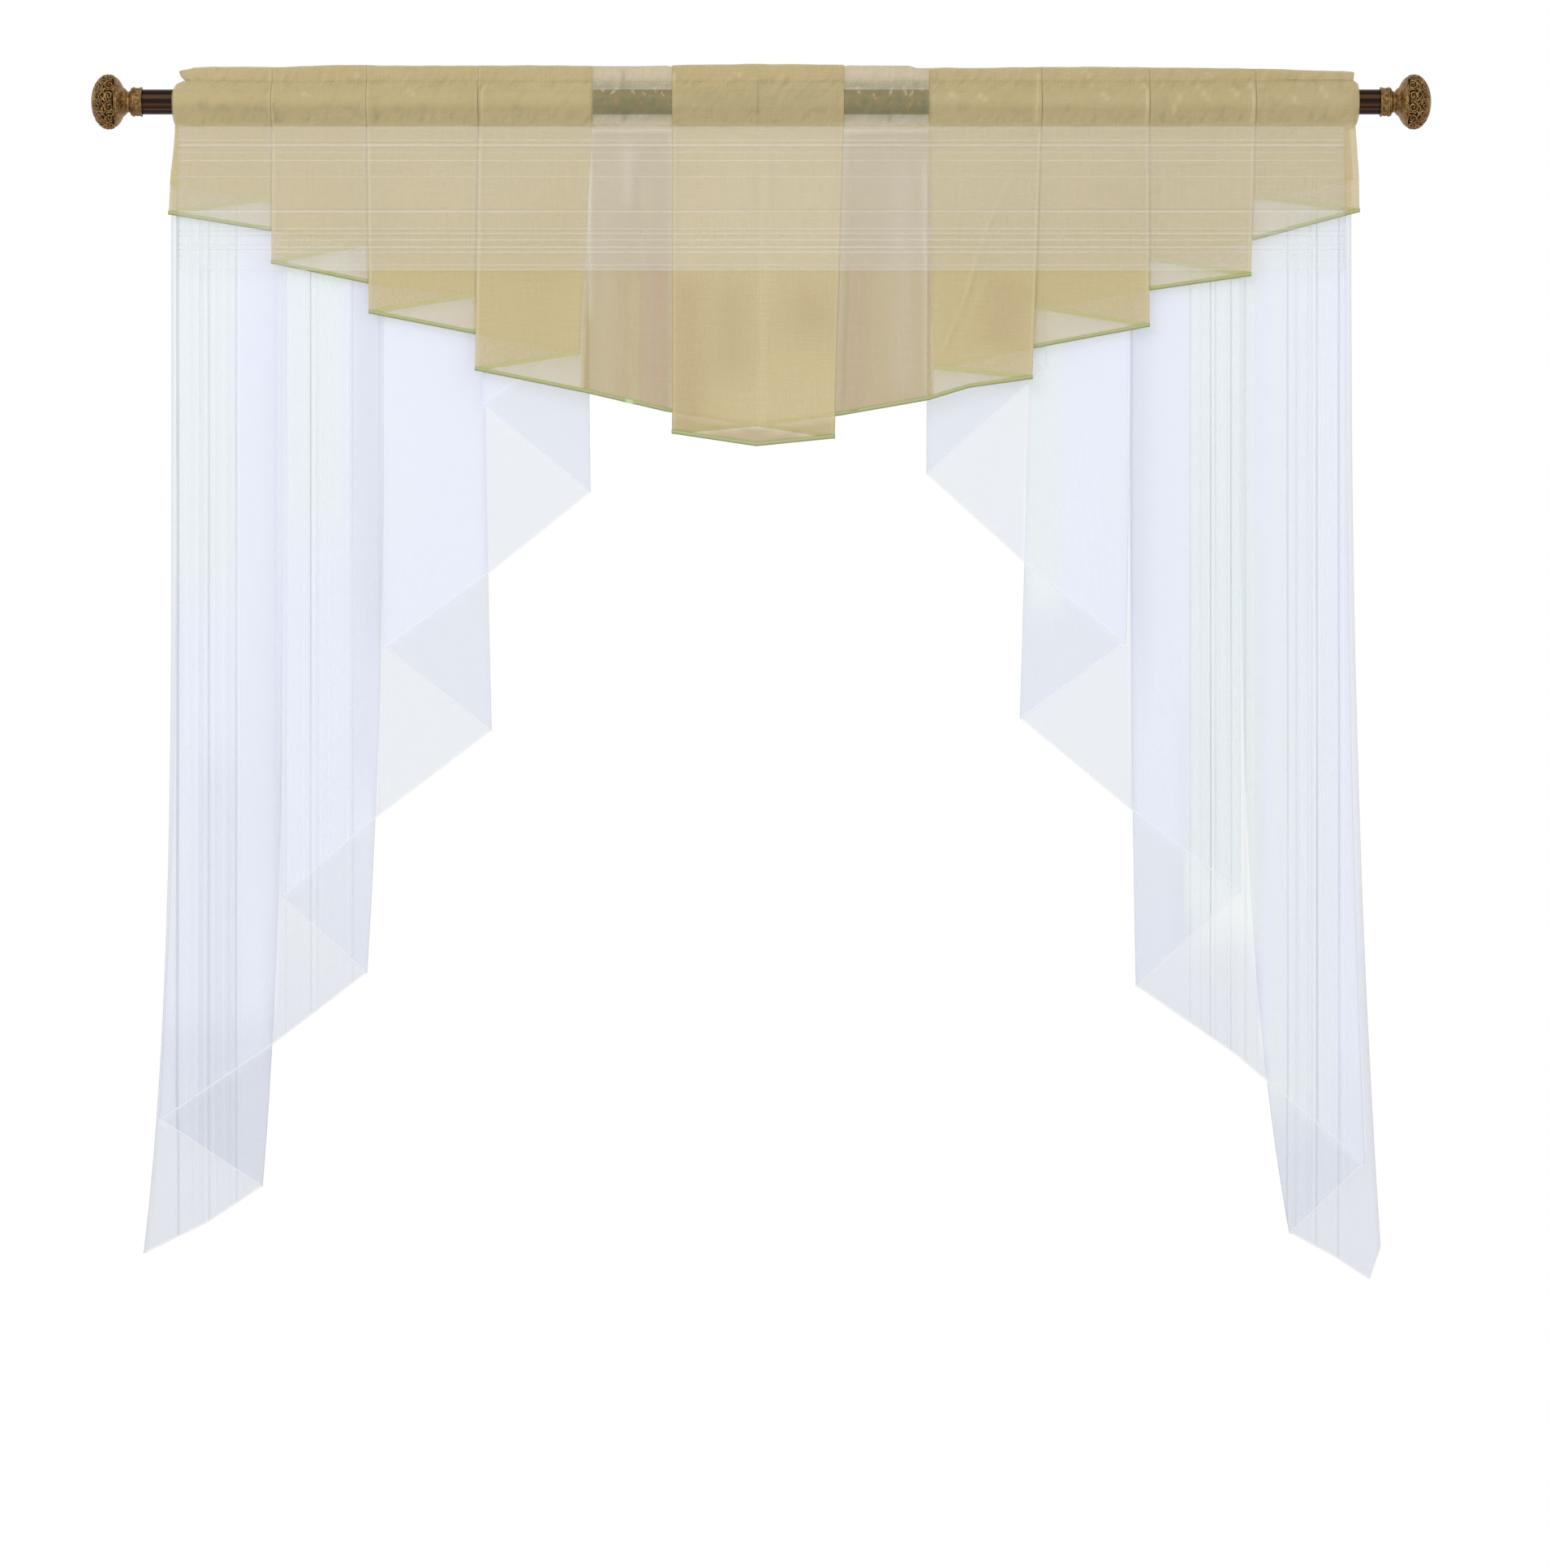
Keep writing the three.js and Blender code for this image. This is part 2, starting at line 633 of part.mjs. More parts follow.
add("rod", rodGeometry(), "bronze");
for (const [side, turn] of [["right", 0], ["left", Math.PI]]) {
  add(`collar_${side}`, collarGeometry(), "brass", turn);
  add(`finial_${side}`, finialGeometry(), "brass", turn);
}
add("valance", valanceGeometry(), "gold");
add("valance_binding", bindingGeometry(), "olive");
add("voile_band", bandGeometry(), "white");
add("side_panel_left", cascadeGeometry(LEFT_CASCADE), "white");
add("side_panel_right", cascadeGeometry(RIGHT_CASCADE), "white");

export default curtain;
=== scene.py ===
"""Looks of an arched cafe curtain on a decorative rod.

A pleated gold voile valance hangs by its pocket on a bronze rod with pierced brass finials. A
straight white voile band lies over it, two white side panels fall in cascades behind it, and a
narrow olive edging binds its hem.

Lengths are millimetres, as a workroom writes them, and MM turns them into metres when a mesh or
an object is made. The origin is the middle of the rod's axis, +X runs to the right along the rod,
+Z is up and the curtain's front faces -Y.
"""

from __future__ import annotations

import logging
import math
from collections.abc import Callable, Iterator, Sequence
from contextlib import contextmanager
from dataclasses import astuple, dataclass, field, replace
from enum import Enum

import bmesh
import bpy
import numpy as np
from mathutils import Matrix, Vector, noise

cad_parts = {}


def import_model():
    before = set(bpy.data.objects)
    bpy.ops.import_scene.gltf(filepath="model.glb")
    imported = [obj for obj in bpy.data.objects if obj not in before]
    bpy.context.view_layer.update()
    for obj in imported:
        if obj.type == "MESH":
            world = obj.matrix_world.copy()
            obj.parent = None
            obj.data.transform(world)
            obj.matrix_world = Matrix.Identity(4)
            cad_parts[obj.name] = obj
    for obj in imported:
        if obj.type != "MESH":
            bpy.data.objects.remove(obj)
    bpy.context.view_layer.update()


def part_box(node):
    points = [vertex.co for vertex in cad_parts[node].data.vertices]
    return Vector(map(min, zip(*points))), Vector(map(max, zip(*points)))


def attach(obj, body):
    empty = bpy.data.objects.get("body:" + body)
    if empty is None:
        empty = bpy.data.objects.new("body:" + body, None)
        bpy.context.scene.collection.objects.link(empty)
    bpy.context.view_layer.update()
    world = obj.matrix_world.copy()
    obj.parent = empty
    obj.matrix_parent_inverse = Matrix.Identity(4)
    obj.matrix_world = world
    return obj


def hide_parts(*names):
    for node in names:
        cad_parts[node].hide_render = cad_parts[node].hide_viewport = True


LOG = logging.getLogger("cafe_curtain")

MM = 0.001
BODY = "root"
CLOTH_MAP = "cloth"  # UV map that holds a sheet's own flat coordinates, in metres
SHEET_VALUES = ("thread", "hem", "tone", "dense", "blush", "gather")  # what a sheet's points carry
SMOOTH_ANGLE = math.radians(35)  # edges of turned pieces flatter than this are shaded smooth

Pair = tuple[float, float]
Triple = tuple[float, float, float]
Colour = Triple
Grid = np.ndarray
Number = float | Grid
Piece = bpy.types.Object


# ---------------- numbers


def lerp(start: Number, end: Number, share: Number) -> Number:
    """Value at a share of the way from start to end."""
    return start + (end - start) * share


def fill_between(values: Grid, places: Grid) -> Grid:
    """Fill in the unknown values between the known ones, straight along their places."""
    known = np.flatnonzero(~np.isnan(values))
    for i in np.flatnonzero(np.isnan(values)):
        before, after = known[known < i][-1], known[known > i][0]
        share = (places[i] - places[before]) / (places[after] - places[before])
        values[i] = lerp(values[before], values[after], share)
    return values


def smoothstep(value: Number, low: float, high: float) -> Number:
    """Ease from 0 at low to 1 at high."""
    share = np.clip((value - low) / (high - low), 0.0, 1.0)
    return share * share * (3.0 - 2.0 * share)


@dataclass(frozen=True)
class Ripple:
    """Smooth unevenness of a cloth, the same on every run.

    It has a height in millimetres, a size across and down the cloth, and a seed that tells one
    ripple from another. The height is reached to about 0.7 of it.
    """

    height: float
    across: float
    down: float
    seed: float

    def at(self, x: Grid, z: Grid) -> Grid:
        """The ripple at places across and down the cloth."""
        across, down = np.broadcast_arrays(x, z)
        pairs = zip(across.ravel() / self.across, down.ravel() / self.down)
        values = [noise.noise((a, b, self.seed)) for a, b in pairs]
        return self.height * np.array(values).reshape(across.shape)


# ---------------- shading


class Wire:
    """A socket of a node tree, with arithmetic that adds Math nodes."""

    def __init__(self, shading: Shading, socket: bpy.types.NodeSocket) -> None:
        """Wrap one output socket of the shading's tree."""
        self.shading = shading
        self.socket = socket

    def __add__(self, other: Wire | float) -> Wire:
        """Sum."""
        return self.shading.math("ADD", self, other)

    def __sub__(self, other: Wire | float) -> Wire:
        """Difference."""
        return self.shading.math("SUBTRACT", self, other)

    def __rsub__(self, other: Wire | float) -> Wire:
        """Difference, taken from a number."""
        return self.shading.math("SUBTRACT", other, self)

    def __mul__(self, other: Wire | float) -> Wire:
        """Product."""
        return self.shading.math("MULTIPLY", self, other)

    __radd__ = __add__
    __rmul__ = __mul__

    def sine(self) -> Wire:
        """Sine of an angle in radians."""
        return self.shading.math("SINE", self)

    def larger(self, other: Wire | float) -> Wire:
        """The larger of two values."""
        return self.shading.math("MAXIMUM", self, other)

    def eased(self, low: float, high: float) -> Wire:
        """Ease from 0 at low to 1 at high."""
        settings = {"interpolation_type": "SMOOTHSTEP"}
        sockets = {"Value": self, "From Min": low, "From Max": high}
        return self.shading.node("MapRange", settings, sockets)["Result"]


class Shading:
    """The node tree of a material or a world, built from Python expressions."""

    def __init__(self, owner: bpy.types.Material | bpy.types.World) -> None:
        """Start with the empty tree of a material or a world."""
        self.owner = owner
        owner.use_nodes = True
        self.tree = owner.node_tree
        self.tree.nodes.clear()

    def add(
        self, kind: str, settings: dict | None = None, sockets: dict | None = None
    ) -> bpy.types.Node:
        """Add a node.

        Args:
            kind: The node's type, without the words ShaderNode.
            settings: Its properties. A ramp's stops are given as "stops", pairs of place and colour.
            sockets: Values or wires for its inputs, by name or number.

        Returns:
            The node.
        """
        made = self.tree.nodes.new("ShaderNode" + kind)
        for key, value in (settings or {}).items():
            if key == "stops":
                self._fill_ramp(made.color_ramp, value)
            else:
                setattr(made, key, value)
        for key, value in (sockets or {}).items():
            if isinstance(value, Wire):
                self.tree.links.new(value.socket, made.inputs[key])
            else:
                made.inputs[key].default_value = value
        return made

    def node(
        self, kind: str, settings: dict | None = None, sockets: dict | None = None
    ) -> dict[str, Wire]:
        """Add a node and return its outputs that are in use, by name."""
        outputs = self.add(kind, settings, sockets).outputs
        return {out.name: Wire(self, out) for out in outputs if out.enabled}

    @staticmethod
    def _fill_ramp(ramp: bpy.types.ColorRamp, stops: Sequence[tuple[float, Sequence[float]]]) -> None:
        """Give a colour ramp its stops."""
        while len(ramp.elements) < len(stops):
            ramp.elements.new(1.0)
        for element, (place, colour) in zip(ramp.elements, stops):
            element.position = place
            element.color = (*colour, 1.0)

    def math(self, operation: str, *values: Wire | float) -> Wire:
        """Add a Math node and return its result."""
        sockets = dict(enumerate(values))
        return self.node("Math", {"operation": operation}, sockets)["Value"]

    def blend(self, factor: Wire | float, first: Wire | Sequence, second: Wire | Sequence) -> Wire:
        """Mix two colours by a factor from 0 to 1."""
        colours = [c if isinstance(c, Wire) else (*c, 1.0) for c in (first, second)]
        sockets = {0: factor, 6: colours[0], 7: colours[1]}
        mixed = self.add("Mix", {"data_type": "RGBA", "clamp_factor": True}, sockets)
        return Wire(self, mixed.outputs[2])

    def noise(self, place: Wire, scale: float, detail: float = 2.0, roughness: float = 0.5) -> Wire:
        """Noise from 0 to 1 at a place, a vector wire."""
        sockets = {"Vector": place, "Scale": scale, "Detail": detail, "Roughness": roughness}
        return self.node("TexNoise", {"noise_dimensions": "3D"}, sockets)["Fac"]

    def vector(self, x: Wire | float, y: Wire | float, z: Wire | float = 0.0) -> Wire:
        """Join three values to a vector."""
        return self.node("CombineXYZ", None, {"X": x, "Y": y, "Z": z})["Vector"]

    def split(self, vector: Wire) -> tuple[Wire, Wire, Wire]:
        """The three values of a vector."""
        parts = self.node("SeparateXYZ", None, {"Vector": vector})
        return parts["X"], parts["Y"], parts["Z"]

    def object_place(self) -> Wire:
        """Place on the piece, in metres."""
        return self.node("TexCoord")["Object"]

    def cloth_place(self) -> tuple[Wire, Wire]:
        """Place on the flat cloth, across and down, in metres."""
        mapped = self.node("UVMap", {"uv_map": CLOTH_MAP})["UV"]
        across, down, _ = self.split(mapped)
        return across, down

    def attribute(self, name: str) -> Wire:
        """A value that the sheet's points carry."""
        return self.node("Attribute", {"attribute_name": name})["Fac"]

    def bump(self, height: Wire, strength: float, distance: float) -> Wire:
        """Normal bent by a height.

        Args:
            height: The height, from 0 to 1.
            strength: How much of it shows.
            distance: Real height of 1, in metres.

        Returns:
            The bent normal.
        """
        sockets = {"Height": height, "Strength": strength, "Distance": distance}
        return self.node("Bump", None, sockets)["Normal"]

    def finish(self, sockets: dict, pass_on: Colour | None = None) -> bpy.types.Material:
        """Close the tree with a Principled shader.

        Args:
            sockets: Values or wires for the shader's inputs.
            pass_on: Colour of the lamps' light that goes through a sheer cloth to what is behind.

        Returns:
            The material.
        """
        surface = self.node("BsdfPrincipled", None, sockets)["BSDF"]
        if pass_on:
            through = self.node("BsdfTransparent", None, {"Color": (*pass_on, 1.0)})["BSDF"]
            lamp = self.node("LightPath")["Is Shadow Ray"]
            surface = self.node("MixShader", None, {0: lamp, 1: surface, 2: through})["Shader"]
        self.node("OutputMaterial", None, {"Surface": surface})
        return self.owner


# ---------------- finishes


@dataclass(frozen=True)
class Finish:
    """A finish, made into a material once."""

    name: str

    def material(self) -> bpy.types.Material:
        """The material, built when it is first asked for."""
        name = type(self).__name__ + "_" + self.name
        return bpy.data.materials.get(name) or self.build(Shading(bpy.data.materials.new(name)))

    def build(self, shading: Shading) -> bpy.types.Material:
        """Build the material."""
        raise NotImplementedError


class Run(Enum):
    """Which way a cloth's thread lines run."""

    UPRIGHT = "upright"
    LEVEL = "level"


@dataclass(frozen=True)
class ThreadLine:
    """A thicker thread in the voile: its place, how light (+) or dark (-) it is, half its width."""

    place: float
    strength: float
    half: float = 0.75


def thread_lines(*lines: tuple[float, ...]) -> tuple[ThreadLine, ...]:
    """Thread lines, each given as place, strength and perhaps half its width."""
    return tuple(ThreadLine(*line) for line in lines)


@dataclass(frozen=True)
class Voile(Finish):
    """Sheer plain weave with slubs, thread lines, denser hems, a little unevenness of colour, and
    highlights and shade painted where its sheet's points ask for them.
    """

    colour: Colour
    deep: Colour  # the other shade of the cloth's soft clouds
    # painted shade: the greyer, darker colour that the tone attribute leads to
    lone: Colour  # where a single layer hangs
    blush: Colour
    # colours of dark and bright thread lines and hems, also used for painted shade and painted highlights
    dark_line_and_shade: Colour
    bright_line_and_highlight: Colour
    cover: float  # opacity of one face of the sheet
    lone_cover: float  # added where a single layer hangs
    hem_cover: float  # added at hems and seams
    line_cover: float  # added at the strongest thread line
    pitch: float = 0.55 * MM  # distance between threads
    slub: float = 0.1
    # the puckers' contrast is painted shade and highlight in the colour
    pucker: float = 0.9  # contrast of the small puckers at the stitch lines
    pass_on: Colour = (0.96, 0.96, 0.96)  # light that one face lets through
    run: Run = Run.UPRIGHT
    threads: tuple[ThreadLine, ...] = ()

    def woven_lines(self, shading: Shading) -> Wire | float:
        """The thread lines, each coming and going along its length."""
        if not self.threads:
            return 0.0
        x, y, z = shading.split(shading.object_place())
        place, along = (x, z) if self.run is Run.UPRIGHT else (z, x)
        lines: Wire | float = 0.0
        for thread in self.threads:
            mark = shading.math("COMPARE", place, thread.place * MM, thread.half * MM)
            lines = mark * thread.strength + lines
        ebb = shading.noise(shading.vector(place * 300.0, along * 2.6, y * 9.0), 1.0, 1.0)
        return (ebb.eased(0.25, 0.6) * 0.6 + 0.4) * lines

    def build(self, shading: Shading) -> bpy.types.Material:
        """Weave, slubs and attributes drive the colour, the cover and the bump."""
        across, down = shading.cloth_place()
        turns = math.tau / self.pitch
        warp = (across * turns).sine() * 0.5 + 0.5
        weft = (down * turns).sine() * 0.5 + 0.5
        weave = warp.larger(weft)
        warp_slub = shading.noise(shading.vector(across * 900.0, down * 14.0, 0.0), 1.0, 2.0)
        weft_slub = shading.noise(shading.vector(across * 14.0, down * 900.0, 7.0), 1.0, 2.0)
        slubs = warp_slub + weft_slub - 1.0
        cloud = shading.noise(shading.vector(across * 7.0, down * 5.0, 3.0), 1.0, 2.0)

        pucker = shading.noise(shading.vector((across + down * 0.5) * 120.0, down * 45.0, 11.0), 1.0, 1.0)
        pucker = (pucker - 0.5) * shading.attribute("gather")
        # the thread attribute carries painted highlights (+) and painted shade (-) along creases, folds and
        # over the rod, as well as thread lines
        thread = shading.attribute("thread") + self.woven_lines(shading)
        hem = shading.attribute("hem")
        cover = (weave - 0.75) * 0.12 + slubs * self.slub + self.cover
        cover = cover + shading.attribute("dense") * self.lone_cover
        cover = cover + hem * self.hem_cover + thread.larger(thread * -0.55) * self.line_cover

        shade = (cloud.eased(0.3, 0.7) * 0.75 + slubs * 0.6).larger(0.0)
        # painted shade and highlight of the puckers, besides their bump
        thread = thread + pucker * self.pucker
        colour = shading.blend(shade, self.colour, self.deep)
        # tone paints shade, towards the lone colour
        colour = shading.blend(shading.attribute("tone"), colour, self.lone)
        colour = shading.blend(shading.attribute("blush"), colour, self.blush)
        # negative thread paints dark lines and shade, positive thread and hems paint bright lines and
        # highlights
        colour = shading.blend((thread * -1.0).larger(0.0), colour, self.dark_line_and_shade)
        colour = shading.blend(thread.larger(hem), colour, self.bright_line_and_highlight)
        return shading.finish(
            {
                "Base Color": colour,
                "Alpha": cover,
                "Roughness": 0.72,
                "Specular IOR Level": 0.25,
                "Sheen Weight": 0.15,
                "Sheen Roughness": 0.4,
                "Normal": shading.bump(weave + slubs * 1.5 + pucker * 16.0, 0.25, 0.06 * MM),
            },
            self.pass_on,
        )


@dataclass(frozen=True)
class SatinEdging(Finish):
    """Narrow woven binding with fine cross ribs, darker along its folded lower edge."""

    colour: Colour
    dark: Colour
    veiled: Colour  # where it is seen through a layer
    pass_on: Colour
    rib: float = 0.7 * MM

    def build(self, shading: Shading) -> bpy.types.Material:
        """Ribs across the strip, a darker fold at its lower edge."""
        across, down = shading.cloth_place()
        rib = (across * (math.tau / self.rib)).sine() * 0.5 + 0.5
        fleck = shading.noise(shading.vector(across * 500.0, down * 900.0, 1.0), 1.0, 3.0)
        fold = shading.attribute("hem")
        shade = fold * 0.75 + (fleck - 0.5) * 0.5 + (1.0 - rib) * 0.12
        colour = shading.blend(shade.larger(0.0), self.colour, self.dark)
        colour = shading.blend(shading.attribute("tone"), colour, self.veiled)
        return shading.finish(
            {
                "Base Color": colour,
                "Alpha": 0.9 - rib * 0.12,
                "Roughness": 0.45 + fleck * 0.2,
                "Sheen Weight": 0.2,
                "Normal": shading.bump(rib + fleck * 0.6, 0.4, 0.1 * MM),
            },
            self.pass_on,
        )


@dataclass(frozen=True)
class SewingThread(Finish):
    """Twisted cotton thread."""

    colour: Colour
    dark: Colour

    def build(self, shading: Shading) -> bpy.types.Material:
        """Fine diagonal twist."""
        x, y, z = shading.split(shading.object_place())
        twist = ((x + z) * (math.tau / (0.6 * MM))).sine() * 0.5 + 0.5
        fuzz = shading.noise(shading.object_place(), 2500.0, 2.0)
        colour = shading.blend(twist * 0.5 + fuzz * 0.4, self.colour, self.dark)
        normal = shading.bump(twist, 0.5, 0.08 * MM)
        return shading.finish({"Base Color": colour, "Roughness": 0.7, "Normal": normal})


@dataclass(frozen=True)
class BronzeLacquer(Finish):
    """Dark bronze lacquer with painted reflections: brown, red-brown and grey streaks at fixed heights that
    run along the rod.
    """

    black: Colour
    brown: Colour
    maroon: Colour
    grey: Colour

    def build(self, shading: Shading) -> bpy.types.Material:
        """Painted reflection streaks by the height on the rod, worn a little along their length."""
        x, y, z = shading.split(shading.object_place())
        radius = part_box("rod")[1][2]
        height = z * (0.5 / radius) + 0.5
        grain = shading.noise(shading.vector(x * 3.0, y * 260.0, z * 260.0), 1.0, 3.0)
        wear = shading.noise(shading.vector(x * 60.0, y * 400.0, z * 400.0), 1.0, 4.0, 0.6)
        # the stops paint reflections: streaks at fixed heights round the rod, with grey highlights, on the
        # dark lacquer
        stops = (
            (0.0, self.black), (0.04, self.maroon), (0.13, self.maroon), (0.17, self.grey),
            (0.2, self.maroon), (0.27, self.maroon), (0.34, self.brown), (0.41, self.maroon),
            (0.47, self.black), (0.56, self.black), (0.62, self.brown), (0.72, self.brown),
            (0.78, self.black), (0.9, self.black), (0.96, self.grey),
        )
        ramp = shading.node("ValToRGB", {"stops": stops}, {"Fac": height + (grain - 0.5) * 0.05})
        colour = shading.blend(wear.eased(0.6, 0.85) * 0.5, ramp["Color"], self.brown)
        return shading.finish(
            {
                "Base Color": colour,
                "Metallic": 0.05,
                "Roughness": 0.3 + grain * 0.22,
                "Specular IOR Level": 0.04,
                "Coat Weight": 0.02,
                "Coat Roughness": 0.2,
                "Normal": shading.bump(grain + wear * 0.4, 0.12, 0.2 * MM),
            }
        )


@dataclass(frozen=True)
class AntiqueBrass(Finish):
    """Cast brass with a brown patina that gathers in hollows, coppery and darker towards the bottom, and
    painted shade on the core inside its pierced work.
    """

    bright: Colour
    brown: Colour
    copper: Colour
    dark: Colour

    def build(self, shading: Shading) -> bpy.types.Material:
        """Patina from noise, coppery and darker towards the bottom, dark in the hollows: patina there,
        painted shade on the core.
        """
        place = shading.object_place()
        x, y, z = shading.split(place)
        patina = shading.noise(place, 240.0, 4.0, 0.6)
        fine = shading.noise(place, 1500.0, 3.0, 0.6)
        raised = shading.attribute("raised")
        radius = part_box("finial_left")[1][2]
        low = (z * (-1.0 / radius)).eased(0.35, 0.95)
        colour = shading.blend(patina.eased(0.35, 0.7), self.brown, self.bright)
        colour = shading.blend(low * 0.55, colour, self.copper)
        # dark in the hollows: patina on the castwork, and on the core, whose raised is 0, painted shade
        # inside the pierced work
        hollow = (1.0 - raised) * (0.55 + fine * 0.45)
        colour = shading.blend(hollow, colour, self.dark)
        return shading.finish(
            {
                "Base Color": colour,
                "Metallic": 0.85,
                "Roughness": 0.28 + patina * 0.3,
                "Normal": shading.bump(patina * 0.7 + fine * 0.3, 0.3, 0.25 * MM),
            }
        )


@dataclass(frozen=True)
class PaleFloor(Finish):
    """Plain pale floor with a faint grain."""

    colour: Colour
    shade: Colour

    def build(self, shading: Shading) -> bpy.types.Material:
        """A hardly visible cloud of tone."""
        cloud = shading.noise(shading.object_place(), 3.0, 3.0)
        colour = shading.blend(cloud * 0.5, self.colour, self.shade)
        return shading.finish({"Base Color": colour, "Roughness": 0.9})


GOLD_VOILE = Voile(
    name="gold", colour=(0.7, 0.605, 0.36), deep=(0.66, 0.565, 0.32), lone=(0.51, 0.4, 0.19),
    blush=(0.5, 0.345, 0.2), dark_line_and_shade=(0.3, 0.3, 0.17), bright_line_and_highlight=(0.76, 0.68, 0.45), cover=0.42,
    lone_cover=0.2, hem_cover=0.2, line_cover=0.34, slub=0.16, pucker=1.3,
    pass_on=(0.95, 0.93, 0.88),
)
PANEL_VOILE = Voile(
    name="panel", colour=(0.85, 0.88, 0.98), deep=(0.86, 0.89, 0.96), lone=(0.665, 0.705, 0.8),
    blush=(0.85, 0.9, 0.92), dark_line_and_shade=(0.5, 0.54, 0.58), bright_line_and_highlight=(0.93, 0.95, 0.98),
    cover=0.28, lone_cover=0.08, hem_cover=0.22, line_cover=0.3, slub=0.03,
)
LEFT_VOILE = replace(
    PANEL_VOILE,
    name="left_panel",
    threads=thread_lines(
        (-747.8, -0.55, 1.6), (-744, 0.25), (-739, 0.2, 1.5), (-736.5, 0.3), (-730, -0.15),
        (-723, 0.3, 1.2), (-719.7, -0.25), (-716.5, -0.2), (-712.4, 0.4, 1), (-708.2, -0.4, 1.2),
        (-702, 0.35, 1.5), (-697.8, -0.15), (-689, 0.35, 1.6), (-682, -0.12, 1.5), (-673.4, -0.4, 1.1),
        (-669.2, 0.45, 1.4), (-624, -0.15), (-618.8, 0.2), (-609.4, -0.2, 1.2), (-604.2, 0.25, 1.2),
        (-586, 0.35, 1), (-577.7, -0.5, 1), (-573.6, 0.5, 1), (-568.9, -0.2), (-564.7, 0.3, 1),
        (-554.3, 0.2), (-548.1, 0.2), (-530.4, 0.3, 1.1), (-524.2, -0.2, 1.6), (-515.8, 0.15),
        (-489.8, -0.2, 1), (-482.6, 0.3, 1),
    ),
)
RIGHT_VOILE = replace(
    PANEL_VOILE,
    name="right_panel",
    threads=thread_lines(
        (471, 0.35, 1), (475.3, -0.3, 1.6), (550.2, -0.25, 1), (556.4, 0.25, 1), (563.7, -0.15),
        (571, 0.15), (574.1, 0.35), (576.2, -0.55, 0.9), (578.8, 0.45, 0.9), (582.4, -0.25, 1),
        (590.7, 0.25, 1.4), (597.5, -0.15), (600.1, 0.5, 0.8), (602.2, -0.55, 0.9), (605.3, 0.2),
        (613.6, 0.35, 1.5), (620.9, -0.25, 1.8), (630.2, 0.2), (635.4, -0.15), (671.8, 0.4, 0.9),
        (675, -0.4, 1), (678.1, 0.3, 1.2), (686.4, -0.2, 1.6), (692.6, 0.25, 1.5), (701, -0.2),
        (703, 0.2), (705.1, -0.2), (708.8, 0.45, 0.9), (712.4, -0.55, 1), (715.5, 0.4, 0.9),
        (725.9, 0.2, 1), (733.2, 0.15), (736.3, 0.25, 1.2), (740.5, -0.45, 1.2), (745.7, 0.3, 1.3),
    ),
)
BAND_VOILE = Voile(
    name="band", colour=(0.84, 0.87, 0.9), deep=(0.83, 0.84, 0.84), lone=(0.8, 0.84, 0.88),
    blush=(0.8, 0.84, 0.88), dark_line_and_shade=(0.3, 0.26, 0.16), bright_line_and_highlight=(0.95, 0.93, 0.86),
    cover=0.095, lone_cover=0.0, hem_cover=0.12, line_cover=0.34, slub=0.03, run=Run.LEVEL,
    threads=thread_lines(
        (-43.7, -0.2, 0.6), (-49.9, 0.3), (-52.2, -0.5, 0.6), (-56.2, 0.5, 0.9), (-59.5, -0.4, 0.6),
        (-65.5, 0.25), (-75.9, 0.4, 0.6), (-81, -0.2), (-89.4, -0.3, 0.6), (-96.7, 0.25),
        (-138.3, -0.5, 0.7), (-141.5, 0.5, 0.7), (-163.3, 0.35, 0.6), (-166.4, -0.4, 0.6), (-169.5, 0.4),
        (-172.6, -0.4, 0.6), (-177.8, 0.35), (-184.1, -0.35, 0.6), (-187.2, 0.5), (-190.3, -0.4, 0.6),
        (-193.4, 0.45), (-199, -0.2, 0.6), (-210.1, 0.25),
    ),
)
OLIVE_SATIN = SatinEdging(
    "olive", (0.5, 0.53, 0.24), (0.29, 0.31, 0.11), veiled=(0.58, 0.74, 0.36), pass_on=(0.88, 0.88, 0.84)
)
GOLD_THREAD = SewingThread("gold", (0.62, 0.52, 0.3), (0.4, 0.33, 0.17))
DARK_BRONZE = BronzeLacquer(
    name="rod", black=(0.012, 0.008, 0.006), brown=(0.085, 0.045, 0.02),
    maroon=(0.035, 0.012, 0.01), grey=(0.1, 0.08, 0.07),
)
ANTIQUE_BRASS = AntiqueBrass(
    name="cast", bright=(0.4, 0.25, 0.09), brown=(0.14, 0.07, 0.022), copper=(0.3, 0.125, 0.04),
    dark=(0.012, 0.006, 0.004),
)
PALE_FLOOR = PaleFloor("studio", (0.86, 0.86, 0.85), (0.82, 0.82, 0.81))


# ---------------- folded sheets


